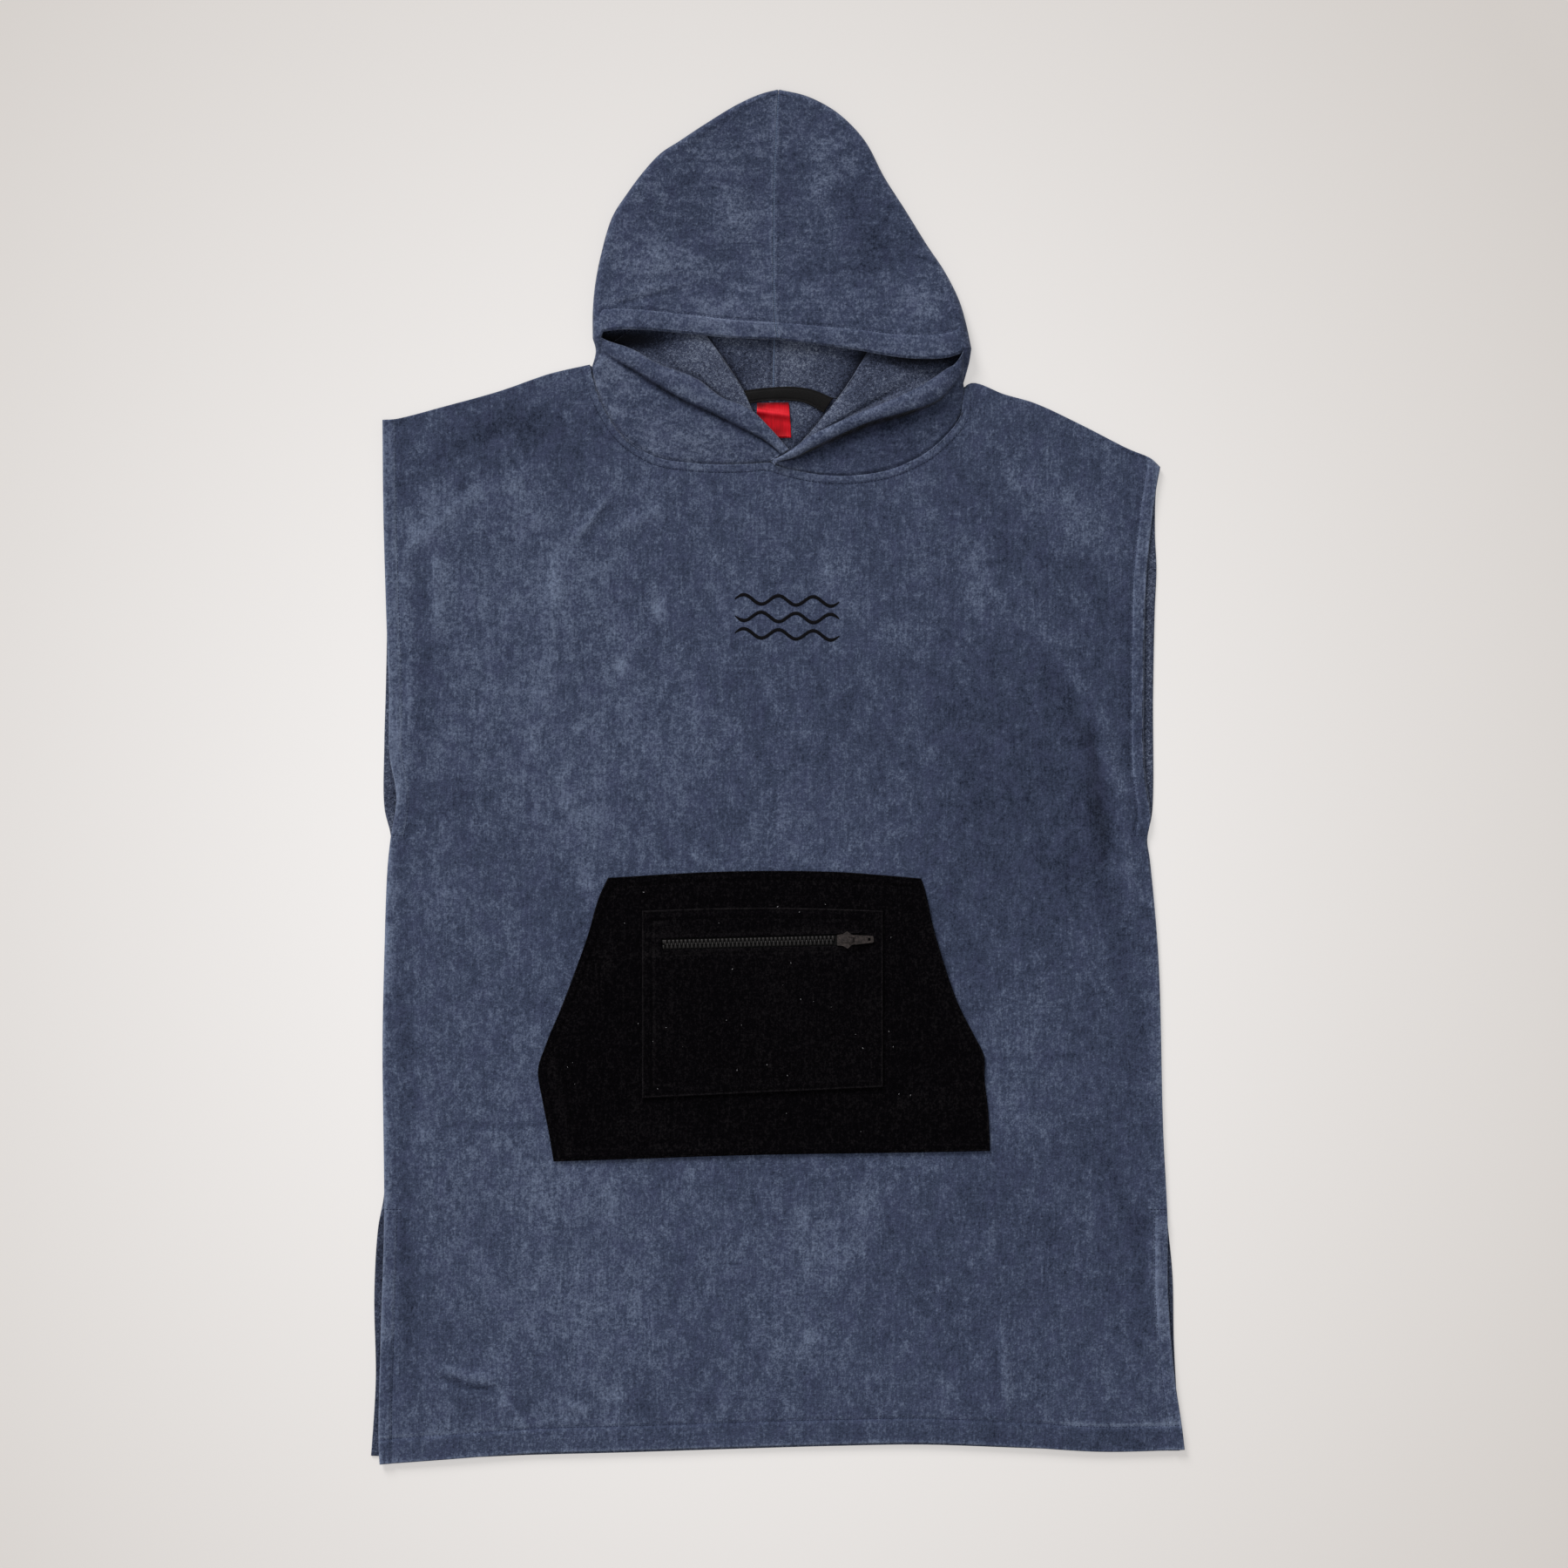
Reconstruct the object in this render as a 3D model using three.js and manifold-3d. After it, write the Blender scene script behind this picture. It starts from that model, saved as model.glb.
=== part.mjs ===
import * as THREE from 'three';
import { mergeVertices } from 'three/addons/utils/BufferGeometryUtils.js';
import Module from 'manifold-3d';

// A hooded bath poncho laid flat on its back, the hood spread above the shoulders and its mouth open.
// Millimetres. The floor is z = 0, +Y runs from the hem to the hood's peak, and +X is to the right
// for someone who looks down on it.

// Cloth and seams
const CLOTH = 2.2;
const POCKET_CLOTH = 2.0;
const PATCH_CLOTH = 1.8;
const TRIM_CLOTH = 1.2;
const SEAM_GAP = 0.3;
const HEM_RELIEF = 0.9;
const HEM_DEPTH = 23;
const SIDE_HEM_DEPTH = 12.5;
const HEM_STEP = 2.5;

// Layers, from the floor up
const BACK_MID = CLOTH / 2;
const FRONT_MID = BACK_MID + CLOTH + SEAM_GAP;
const FRONT_TOP = FRONT_MID + CLOTH / 2;
const POCKET_MID = FRONT_TOP + SEAM_GAP + POCKET_CLOTH / 2;
const POCKET_TOP = POCKET_MID + POCKET_CLOTH / 2;
const PATCH_MID = POCKET_TOP + SEAM_GAP + PATCH_CLOTH / 2;

// Outlines. Columns: x, y.
const FRONT_SIDE_LEFT = [
  [-374.7, -647.1], [-375.8, -623.9], [-373.7, -527.1], [-370.5, -417.2], [-372.0, -252.4],
  [-370.4, -170.4], [-367.5, -87.6], [-364.7, -59.7], [-358.9, -18.7], [-365.3, 20.7],
  [-365.9, 80.0], [-368.8, 165.0], [-371.2, 252.7], [-372.0, 336.4],
];
const FRONT_SIDE_RIGHT = [
  [383.2, -633.3], [380.7, -612.4], [373.7, -564.0], [367.6, -486.9], [367.0, -413.9],
  [363.1, -334.4], [358.6, -170.4], [350.4, -77.3], [348.0, -59.7], [351.2, -35.9],
  [345.8, 7.5], [345.1, 88.7], [346.9, 180.6], [350.4, 224.0], [356.1, 269.9], [360.2, 292.1],
];
const BACK_SIDE_LEFT = [
  [-383.1, -639.4], [-381.9, -623.9], [-378.6, -566.5], [-380.0, -487.7], [-376.5, -425.4],
  [-370.5, -390.0], [-371.0, -252.4], [-366.5, -87.6], [-364.4, -56.0], [-370.4, -29.4],
  [-370.6, 30.0], [-369.0, 90.0], [-368.0, 165.0], [-370.4, 252.7], [-371.2, 335.4],
];
const BACK_SIDE_RIGHT = [
  [379.0, -634.6], [376.0, -585.0], [373.2, -529.6], [372.0, -470.0], [366.0, -405.0],
  [362.0, -334.4], [357.6, -170.4], [349.0, -77.3], [348.2, -57.0], [352.8, -33.5],
  [353.7, 77.2], [355.3, 157.6], [356.9, 196.5], [355.5, 228.9], [356.4, 269.9], [359.4, 291.4],
];
const FRONT_HEM = [
  [-374.7, -647.1], [-312.5, -642.5], [-234.3, -636.7], [-142.4, -634.1], [-38.3, -630.7],
  [58.5, -628.0], [136.0, -626.9], [228.2, -630.7], [306.9, -635.2], [383.2, -633.3],
];
const BACK_HEM = [
  [-383.1, -639.4], [-312.5, -641.5], [-234.3, -638.6], [-142.4, -636.2], [-38.3, -632.8],
  [58.5, -630.0], [136.0, -628.9], [228.2, -631.9], [306.9, -634.6], [379.0, -634.6],
];
const SHOULDER_LEFT = [
  [-372.0, 336.4], [-360.0, 337.2], [-312.2, 349.5], [-262.2, 363.4], [-214.6, 379.8],
  [-183.5, 386.6], [-176.1, 383.1],
];
const SHOULDER_RIGHT = [
  [176.1, 368.3], [183.4, 371.2], [191.7, 369.6], [211.8, 361.0], [241.9, 352.2],
  [284.8, 332.3], [329.9, 309.3], [351.2, 300.2], [360.2, 292.1],
];
const CENTRE_FRONT = [-7.5, 296.6];
const CENTRE_BACK_NECK = [-4.0, 360.6];
const APEX = [0.8, 647.6];
const CENTRE_SEAM = [[0.6, 411.8], [-2.2, 434.8], [-3.2, 549.1], [0.8, 647.6]];

// Each half of the hood. Columns: x, y. Every line starts at the side and ends at the centre, but the
// silhouette, which runs from the corner of the mouth up to the peak.
const HOOD_LEFT = {
  name: 'hood_left',
  side: -1,
  silhouette: [
    [-174.0, 413.0], [-174.0, 437.6], [-172.0, 461.8], [-166.2, 492.2], [-155.6, 527.4],
    [-141.9, 549.1], [-125.6, 570.9], [-110.0, 587.5], [-93.2, 598.5], [-71.1, 611.9],
    [-38.3, 630.7], [0.8, 647.6],
  ],
  corner: [[-174.0, 413.0], [-174.4, 400.0], [-175.5, 384.4]],
  forehead: [[-166.2, 418.1], [-149.0, 420.0], [-125.6, 420.0], [-85.0, 417.1], [-44.0, 413.4], [0.6, 411.8]],
  rim: [
    [-166.0, 411.0], [-153.9, 407.7], [-135.1, 401.1], [-112.0, 388.0], [-76.0, 374.1],
    [-52.0, 356.5], [-27.6, 346.9], [-9.0, 330.0], [10.4, 308.4],
  ],
  rimBand: [
    [-167.0, 402.6], [-153.1, 392.9], [-135.1, 382.7], [-114.6, 370.0], [-87.5, 354.8],
    [-59.6, 342.1], [-34.1, 329.0], [-12.0, 317.0], [4.0, 303.9],
  ],
  neckFront: [
    [-176.1, 383.1], [-166.2, 353.6], [-144.9, 320.8], [-114.6, 301.5], [-85.0, 296.2],
    [-59.6, 294.5], [-35.0, 294.7], CENTRE_FRONT,
  ],
  neckBack: [[-176.1, 383.1], [-141.6, 370.8], [-92.4, 363.6], [-45.0, 360.4], CENTRE_BACK_NECK],
};
const HOOD_RIGHT = {
  name: 'hood_right',
  side: 1,
  silhouette: [
    [182.3, 403.2], [177.4, 426.6], [170.8, 448.7], [157.3, 475.8], [140.9, 500.4],
    [119.1, 535.6], [100.3, 565.1], [83.9, 596.6], [69.0, 614.5], [51.1, 629.3],
    [26.5, 641.6], [0.8, 647.6],
  ],
  corner: [[182.3, 403.2], [180.4, 390.7], [175.2, 371.4]],
  forehead: [
    [174.0, 398.4], [157.5, 393.6], [131.9, 392.9], [106.0, 395.8], [78.1, 401.1], [37.6, 407.1],
    [0.6, 411.8],
  ],
  rim: [
    [173.7, 389.7], [161.0, 384.7], [139.2, 370.2], [110.0, 355.6], [71.6, 339.8],
    [49.2, 329.8], [28.1, 318.9], [14.0, 308.4], [-3.4, 298.2],
  ],
  rimBand: [
    [174.4, 380.0], [161.0, 364.2], [150.3, 354.4], [120.8, 343.7], [86.3, 334.2],
    [51.1, 319.1], [28.9, 308.3], [14.2, 301.0], [-5.0, 297.4],
  ],
  neckFront: [
    [176.1, 368.3], [172.4, 340.5], [160.1, 323.2], [138.0, 304.4], [105.2, 289.6],
    [69.9, 283.9], [40.4, 284.7], [10.1, 290.6], CENTRE_FRONT,
  ],
  neckBack: [[176.1, 368.3], [137.2, 361.0], [96.2, 355.8], [45.1, 357.1], CENTRE_BACK_NECK],
};

// How high the hood stands
const SIDE_FOLD_RADIUS = 7.0;
const PEAK_FOLD_RADIUS = 3.6;
const NECK_FOLD_RADIUS = 1.7;
const FOREHEAD_CENTRE_MID = 7.2;
const CROWN_SAG_MID = 4.6;
const RIM_MID = 14.2;
const RIM_TIP_MID = 8.0;
const NECK_SEAM_MID = 4.1;
const RIM_RELIEF = 2.6;
const PEAK_TURN_START = 0.7;
const NECK_GAP = 1.5 * SEAM_GAP;

// Steps of the grids
const NECK_STEPS = 9;
const BACK_NECK_STEPS = 8;
const SHOULDER_STEPS = 5;
const CROWN_COLUMNS = 8;
const FOLD_STEPS = 5;
const CROWN_ROWS = [0, 0.085, 0.1, 0.2, 0.32, 0.45, 0.58, 0.7, 0.82, 0.92, 1];
const CORNER_ROWS = [0, 0.25, 0.5, 0.56, 0.78, 1];
const BAND_COLUMN = 2;
const HEM_ROWS = 2;

// The body panels: mean sizes, the column shares of the neck, and the sewn stretch of the side seams
const MEAN_WIDTH = 735;
const MEAN_LENGTH = 975;
const NECK_LEFT_SHARE = 0.268;
const NECK_RIGHT_SHARE = 0.749;
const VENT_TOP = -410;
const ARMHOLE_BOTTOM = -55;

// Soft folds of the laid cloth that lift the front panel. Columns: x, y, half width, half length, height.
const SOFT_FOLDS = [
  { x: -345, y: 75, width: 16, length: 70, height: 2.2 },
  { x: 350, y: -465, width: 14, length: 85, height: 2.4 },
  { x: -180, y: 235, width: 18, length: 26, height: 1.4 },
  { x: -300, y: -575, width: 30, length: 16, height: 1.3 },
  { x: 208, y: -560, width: 12, length: 34, height: 1.4 },
  { x: 250, y: 180, width: 40, length: 60, height: 1.2 },
];

// Colours of the cloth and trims
const BLUE_TOWEL = { color: 0x46546e, roughness: 0.95, metalness: 0.0 };
const BLACK_TOWEL = { color: 0x0b0b0d, roughness: 0.95, metalness: 0.0 };
const BLACK_TAPE = { color: 0x121214, roughness: 0.8, metalness: 0.0 };
const RED_SATIN = { color: 0xa01828, roughness: 0.55, metalness: 0.0 };
const TOOTH_PLASTIC = { color: 0x2c2724, roughness: 0.5, metalness: 0.0 };
const DARK_METAL = { color: 0x3a3432, roughness: 0.4, metalness: 0.8 };

const garment = new THREE.Group();

// Plain helpers for points in the plan, each [x, y]
const mix = (a, b, t) => a + (b - a) * t;
const mixPoint = (p, q, t) => [mix(p[0], q[0], t), mix(p[1], q[1], t)];
const smooth = (t) => t * t * (3 - 2 * t);
const clamp01 = (t) => Math.min(1, Math.max(0, t));

function curveThrough(points) {
  const places = points.map(([x, y]) => new THREE.Vector3(x, y, 0));
  const curve = new THREE.CatmullRomCurve3(places, false, 'centripetal');
  curve.arcLengthDivisions = 400;
  return (t) => {
    const p = curve.getPointAt(clamp01(t));
    return [p.x, p.y];
  };
}

function sampled(points, steps) {
  const at = curveThrough(points);
  return Array.from({ length: steps + 1 }, (_, i) => at(i / steps));
}

// Moves an open chain of plan points sideways by a distance, to the left of its direction when positive
function shifted(chain, distance) {
  return chain.map((p, i) => {
    const before = chain[Math.max(0, i - 1)];
    const after = chain[Math.min(chain.length - 1, i + 1)];
    const dx = after[0] - before[0];
    const dy = after[1] - before[1];
    const length = Math.hypot(dx, dy);
    return [p[0] - (dy / length) * distance, p[1] + (dx / length) * distance];
  });
}

const ACROSS = new THREE.Vector3(1, 0, 0);
const ALONG = new THREE.Vector3(0, 1, 0);

// A sheet of quads that becomes one closed wall: its points are the middle of the cloth, and relief
// raises the outer face
class Sheet {
  constructor(thickness) {
    this.thickness = thickness;
    this.points = [];
    this.relief = [];
    this.locked = [];
    this.triangles = [];
    this.keys = new Map();
  }

  // locked holds unit vectors that the wall isn't offset along, which keeps a seam's edge square
  point(x, y, z, relief = 0, locked = []) {
    const key = [x, y, z].map((value) => Math.round(value * 2000)).join(',');
    if (!this.keys.has(key)) {
      this.keys.set(key, this.points.length);
      this.points.push(new THREE.Vector3(x, y, z));
      this.relief.push(relief);
      this.locked.push(locked);
    }
    return this.keys.get(key);
  }

  triangle(a, b, c) {
    if (a !== b && b !== c && c !== a) {
      this.triangles.push([a, b, c]);
    }
  }

  // rows[j][i] are point numbers, and skip leaves a quad out
  grid(rows, flip = false, skip = () => false) {
    for (let j = 0; j + 1 < rows.length; j += 1) {
      for (let i = 0; i + 1 < rows[j].length; i += 1) {
        if (!skip(i, j)) {
          const [a, b, c, d] = [rows[j][i], rows[j][i + 1], rows[j + 1][i + 1], rows[j + 1][i]];
          if (flip) {
            this.triangle(a, c, b);
            this.triangle(a, d, c);
          } else {
            this.triangle(a, b, c);
            this.triangle(a, c, d);
          }
        }
      }
    }
  }

  normals() {
    const sums = this.points.map(() => new THREE.Vector3());
    const ab = new THREE.Vector3();
    const ac = new THREE.Vector3();
    for (const [a, b, c] of this.triangles) {
      ab.subVectors(this.points[b], this.points[a]);
      ac.subVectors(this.points[c], this.points[a]);
      const face = ab.cross(ac);
      [a, b, c].forEach((n) => sums[n].add(face));
    }
    sums.forEach((n, i) => this.locked[i].forEach((way) => n.addScaledVector(way, -n.dot(way))));
    return sums.map((n) => n.normalize());
  }

  geometry() {
    const normals = this.normals();
    const half = this.thickness / 2;
    const count = this.points.length;
    const outer = this.points.map((p, i) => p.clone().addScaledVector(normals[i], half + this.relief[i]));
    const inner = this.points.map((p, i) => p.clone().addScaledVector(normals[i], -half));
    const faces = [];
    const edges = new Map();
    for (const [a, b, c] of this.triangles) {
      faces.push(a, b, c, a + count, c + count, b + count);
      for (const [p, q] of [[a, b], [b, c], [c, a]]) {
        edges.set(`${p},${q}`, [p, q]);
      }
    }
    for (const [p, q] of edges.values()) {
      if (!edges.has(`${q},${p}`)) {
        faces.push(q, p, p + count, q, p + count, q + count);
      }
    }
    const geometry = new THREE.BufferGeometry();
    const places = [...outer, ...inner].flatMap((p) => [p.x, p.y, p.z]);
    geometry.setAttribute('position', new THREE.Float32BufferAttribute(places, 3));
    geometry.setIndex(faces);
    geometry.computeVertexNormals();
    return geometry;
  }
}

function addMesh(name, geometry, look, parent = garment) {
  const mesh = new THREE.Mesh(geometry, new THREE.MeshStandardMaterial(look));
  mesh.name = name;
  parent.add(mesh);
  return mesh;
}

// The plan point of a patch between four boundary lines, at column share u and row share t
function patchPoint(patch, u, t) {
  const { bottom, top, left, right } = patch;
  const [b, c, l, r] = [bottom(u), top(u), left(t), right(t)];
  const [p00, p10, p01, p11] = [bottom(0), bottom(1), top(0), top(1)];
  return [0, 1].map((k) => mix(b[k], c[k], t) + mix(l[k], r[k], u)
    - mix(mix(p00[k], p10[k], u), mix(p01[k], p11[k], u), t));
}

// The neck seams, shared by the panels and the hood
const neckFrontLeft = sampled(HOOD_LEFT.neckFront, NECK_STEPS);
const neckFrontRight = sampled(HOOD_RIGHT.neckFront, NECK_STEPS);
const neckBackLeft = sampled(HOOD_LEFT.neckBack, BACK_NECK_STEPS);
const neckBackRight = sampled(HOOD_RIGHT.neckBack, BACK_NECK_STEPS);

function foldLift(x, y) {
  return SOFT_FOLDS.reduce((sum, fold) => {
    const reach = ((x - fold.x) / fold.width) ** 2 + ((y - fold.y) / fold.length) ** 2;
    return sum + fold.height * Math.exp(-reach);
  }, 0);
}

// Top line of a body panel, with a column share for each point: left shoulder, neck seam, right shoulder
function panelTop(neck, inset) {
  const lower = ([x, y]) => [x, y - inset];
  const leftShoulder = curveThrough(SHOULDER_LEFT.map(lower));
  const rightShoulder = curveThrough(SHOULDER_RIGHT.map(lower));
  const shoulderShares = [0, SIDE_HEM_DEPTH / MEAN_WIDTH, (SIDE_HEM_DEPTH + HEM_STEP) / MEAN_WIDTH];
  const hemShares = shoulderShares.length;
  for (let i = 1; i < SHOULDER_STEPS; i += 1) {
    shoulderShares.push(mix(shoulderShares[hemShares - 1], NECK_LEFT_SHARE, i / SHOULDER_STEPS));
  }
  const columns = shoulderShares.map((share) => ({ share, point: leftShoulder(share / NECK_LEFT_SHARE) }));
  neck.forEach((point, i) => {
    columns.push({ share: mix(NECK_LEFT_SHARE, NECK_RIGHT_SHARE, i / (neck.length - 1)), point });
  });
  const scale = (1 - NECK_RIGHT_SHARE) / NECK_LEFT_SHARE;
  [...shoulderShares].reverse().forEach((mirrored, i, all) => {
    const hemmed = i >= all.length - hemShares;
    const share = 1 - (hemmed ? mirrored : mirrored * scale);
    columns.push({ share, point: rightShoulder((share - NECK_RIGHT_SHARE) / (1 - NECK_RIGHT_SHARE)) });
  });
  return columns;
}

// One body panel, with columns that meet the neck seam where the hood does
function addBodyPanel(name, panel) {
  const columns = panelTop([...panel.neckLeft, ...[...panel.neckRight].reverse().slice(1)], panel.inset);
  const topPoints = new Map(columns.map(({ share, point }) => [share, point]));
  const patch = {
    bottom: curveThrough(panel.hem),
    top: (share) => topPoints.get(share),
    left: curveThrough(panel.sideLeft),
    right: curveThrough(panel.sideRight),
  };
  const rowShares = [0, HEM_DEPTH / MEAN_LENGTH, (HEM_DEPTH + HEM_STEP) / MEAN_LENGTH];
  const hemRow = 1;
  for (let j = 1; j <= panel.rows; j += 1) {
    rowShares.push(mix(rowShares[2], 1, j / panel.rows));
  }
  const sheet = new Sheet(CLOTH);
  const rows = rowShares.map((t, j) => columns.map(({ share }, i) => {
    const [x, y] = patchPoint(patch, share, t);
    const open = y < VENT_TOP || y > ARMHOLE_BOTTOM;
    const turned = j <= hemRow || (open && (i < 2 || i > columns.length - 3));
    return sheet.point(x, y, panel.mid + panel.lift(x, y), panel.hemmed && turned ? HEM_RELIEF : 0);
  }));
  sheet.grid(rows);
  addMesh(name, sheet.geometry(), BLUE_TOWEL);
}

function addPanels() {
  addBodyPanel('back', {
    mid: BACK_MID, hem: BACK_HEM, sideLeft: BACK_SIDE_LEFT, sideRight: BACK_SIDE_RIGHT,
    neckLeft: neckBackLeft, neckRight: neckBackRight, inset: 0.8, rows: 9, hemmed: false, lift: () => 0,
  });
  addBodyPanel('front', {
    mid: FRONT_MID, hem: FRONT_HEM, sideLeft: FRONT_SIDE_LEFT, sideRight: FRONT_SIDE_RIGHT,
    neckLeft: neckFrontLeft, neckRight: neckFrontRight, inset: 0, rows: 17, hemmed: true, lift: foldLift,
  });
}

// A station of the fold round the hood: its outermost plan point, its outward direction and its radius
function foldStation(curve, t, radius, turn) {
  const step = 0.02;
  const [before, after] = [curve(t - step), curve(t + step)];
  const dx = after[0] - before[0];
  const dy = after[1] - before[1];
  const length = Math.hypot(dx, dy) * turn;
  return { point: curve(t), out: [-dy / length, dx / length], radius };
}

// A point on that fold, from the upper layer at a quarter turn to the lower layer at minus a quarter turn
function foldPoint(station, angle) {
  const { point, out, radius } = station;
  const reach = radius + CLOTH / 2 - Math.cos(angle) * radius;
  return [point[0] - out[0] * reach, point[1] - out[1] * reach, BACK_MID + radius * (1 + Math.sin(angle))];
}

const foldTop = (station) => foldPoint(station, Math.PI / 2);
const foldBase = (station) => foldPoint(station, -Math.PI / 2);

// The stations up the silhouette to the peak, where the fold turns to face along +Y, and down to the neck
function hoodStations(half) {
  const silhouette = curveThrough(half.silhouette);
  const corner = curveThrough(half.corner);
  const crown = CROWN_ROWS.map((t) => {
    const radius = mix(SIDE_FOLD_RADIUS, PEAK_FOLD_RADIUS, Math.sqrt(t));
    const station = foldStation(silhouette, t, radius, -half.side);
    const turn = smooth(clamp01((t - PEAK_TURN_START) / (1 - PEAK_TURN_START)));
    const out = new THREE.Vector2(mix(station.out[0], 0, turn), mix(station.out[1], 1, turn)).normalize();
    return { ...station, out: [out.x, out.y] };
  });
  const cheek = CORNER_ROWS.map((t) => (
    foldStation(corner, t, mix(SIDE_FOLD_RADIUS, NECK_FOLD_RADIUS, smooth(t)), half.side)));
  cheek[0] = crown[0];
  return { crown, cheek };
}

// Upper layer of the crown, from the centre seam out to the fold, and from the forehead edge up to the peak
function addCrown(sheet, half, crown, peak) {
  const seam = curveThrough(CENTRE_SEAM);
  const forehead = curveThrough(half.forehead);
  const seamPoint = (t) => [seam(t)[0] + half.side * SEAM_GAP, seam(t)[1]];
  const rows = CROWN_ROWS.map((t, j) => {
    const outer = foldTop(crown[j]);
    const inner = mixPoint(seamPoint(t), peak, smooth(clamp01((t - 0.8) / 0.2)));
    const sag = mix(FOREHEAD_CENTRE_MID, CROWN_SAG_MID, smooth(clamp01(t * 3)));
    const centreHeight = mix(sag, peak[2], t ** 4);
    return Array.from({ length: CROWN_COLUMNS + 1 }, (_, i) => {
      const s = i / CROWN_COLUMNS;
      const flat = mixPoint(inner, outer, s);
      const start = mixPoint(seamPoint(0), foldTop(crown[0]), s);
      const edge = i === 0 ? seamPoint(0) : forehead(1 - s);
      const pull = i === CROWN_COLUMNS ? 0 : (1 - t) ** 3;
      const [x, y] = t === 1 ? peak : [0, 1].map((k) => flat[k] + (edge[k] - start[k]) * pull);
      const z = mix(centreHeight, outer[2], s ** 1.6);
      return sheet.point(x, y, z, j < HEM_ROWS ? HEM_RELIEF : 0, i === 0 || t === 1 ? [ACROSS] : []);
    });
  });
  sheet.grid(rows, half.side < 0);
}

// The fold round the silhouette, from the peak down to the neck
function addFold(sheet, half, stations, crownCount, peak) {
  const rows = stations.map((station, j) => Array.from({ length: FOLD_STEPS + 1 }, (_, k) => {
    const [x, y, z] = foldPoint(station, Math.PI / 2 - Math.PI * k / FOLD_STEPS);
    const atHem = j >= crownCount - HEM_ROWS && j < crownCount && k < 2;
    const along = new THREE.Vector3(-station.out[1], station.out[0], 0);
    const locks = { 0: [ACROSS], [stations.length - 1]: [along] };
    return sheet.point(j === 0 ? peak[0] : x, y, z, atHem ? HEM_RELIEF * (1 - k / 2) : 0, locks[j] ?? []);
  }));
  sheet.grid(rows, half.side > 0);
}

// Lower layer of the hood, flat on the floor from the peak to the back neck seam
function addLowerLayer(sheet, half, stations, crownCount, peak, neckBack) {
  const centreX = half.side * SEAM_GAP;
  const neck = [CENTRE_BACK_NECK[0] + centreX, CENTRE_BACK_NECK[1] + NECK_GAP];
  const neckLine = shifted(neckBack, -half.side * NECK_GAP);
  neckLine[BACK_NECK_STEPS] = neck;
  const belowCount = stations.length - crownCount;
  const rows = stations.map((station, j) => {
    const below = Math.max(0, (j - crownCount + 1) / belowCount);
    const base = foldBase(station);
    const outer = j === 0 ? peak : base;
    const inner = mixPoint(peak, neck, mix(clamp01((peak[1] - base[1]) / (peak[1] - neck[1])), 1, below));
    const last = foldBase(stations.at(-1));
    return neckLine.map((edge, i) => {
      const s = i / BACK_NECK_STEPS;
      const flat = mixPoint(outer, inner, s);
      const start = mixPoint(last, neck, s);
      const pull = i === 0 ? 0 : below ** 2;
      const [x, y] = [0, 1].map((k) => flat[k] + (edge[k] - start[k]) * pull);
      return sheet.point(x, y, BACK_MID, 0, i === BACK_NECK_STEPS || j === 0 ? [ACROSS] : []);
    });
  });
  sheet.grid(rows, half.side > 0);
}

// The cheek, from the fold at the side to the centre front: up from the neck seam to the turned-back rim
function addCheek(sheet, half, cheekStations, neckFront) {
  const rim = curveThrough(half.rim);
  const band = curveThrough(half.rimBand);
  const seamLine = shifted(neckFront, -half.side * NECK_GAP);
  seamLine[NECK_STEPS][0] += half.side * SEAM_GAP;
  const bandShare = CORNER_ROWS[BAND_COLUMN];
  const rows = seamLine.map((seamPoint, n) => {
    const a = n / NECK_STEPS;
    const rimStart = mix(BACK_MID + 2 * SIDE_FOLD_RADIUS, RIM_MID, smooth(clamp01(a * 3)));
    const rimHeight = mix(rimStart, RIM_TIP_MID, a ** 3);
    return CORNER_ROWS.map((b, k) => {
      if (n === 0) {
        const [x, y, z] = foldTop(cheekStations[k]);
        return sheet.point(x, y, z, k === 0 ? HEM_RELIEF : 0);
      }
      const onBand = b <= bandShare;
      const [x, y] = onBand ? mixPoint(rim(a), band(a), b / bandShare)
        : mixPoint(band(a), seamPoint, (b - bandShare) / (1 - bandShare));
      const width = Math.hypot(rim(a)[0] - seamPoint[0], rim(a)[1] - seamPoint[1]);
      const rise = clamp01(Math.hypot(x - seamPoint[0], y - seamPoint[1]) / width);
      const z = mix(NECK_SEAM_MID, rimHeight, Math.sin(rise * Math.PI / 2));
      const sewn = k === CORNER_ROWS.length - 1 || n === NECK_STEPS;
      const relief = onBand ? RIM_RELIEF * smooth(clamp01(a * 6)) : 0;
      return sheet.point(x, y, z, relief, sewn ? [ACROSS, ALONG] : []);
    });
  });
  sheet.grid(rows, half.side > 0);
}

// One half of the hood, all in one wall
function addHoodHalf(half, neckFront, neckBack) {
  const sheet = new Sheet(CLOTH);
  const { crown, cheek } = hoodStations(half);
  const highest = foldTop(crown.at(-1));
  const peak = [APEX[0] + half.side * SEAM_GAP, highest[1], highest[2]];
  const stations = [...[...crown].reverse(), ...cheek.slice(1)];
  addCrown(sheet, half, crown, peak);
  addFold(sheet, half, stations, crown.length, peak);
  addLowerLayer(sheet, half, stations, crown.length, peak, neckBack);
  addCheek(sheet, half, cheek, neckFront);
  addMesh(half.name, sheet.geometry(), BLUE_TOWEL);
}

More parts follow.
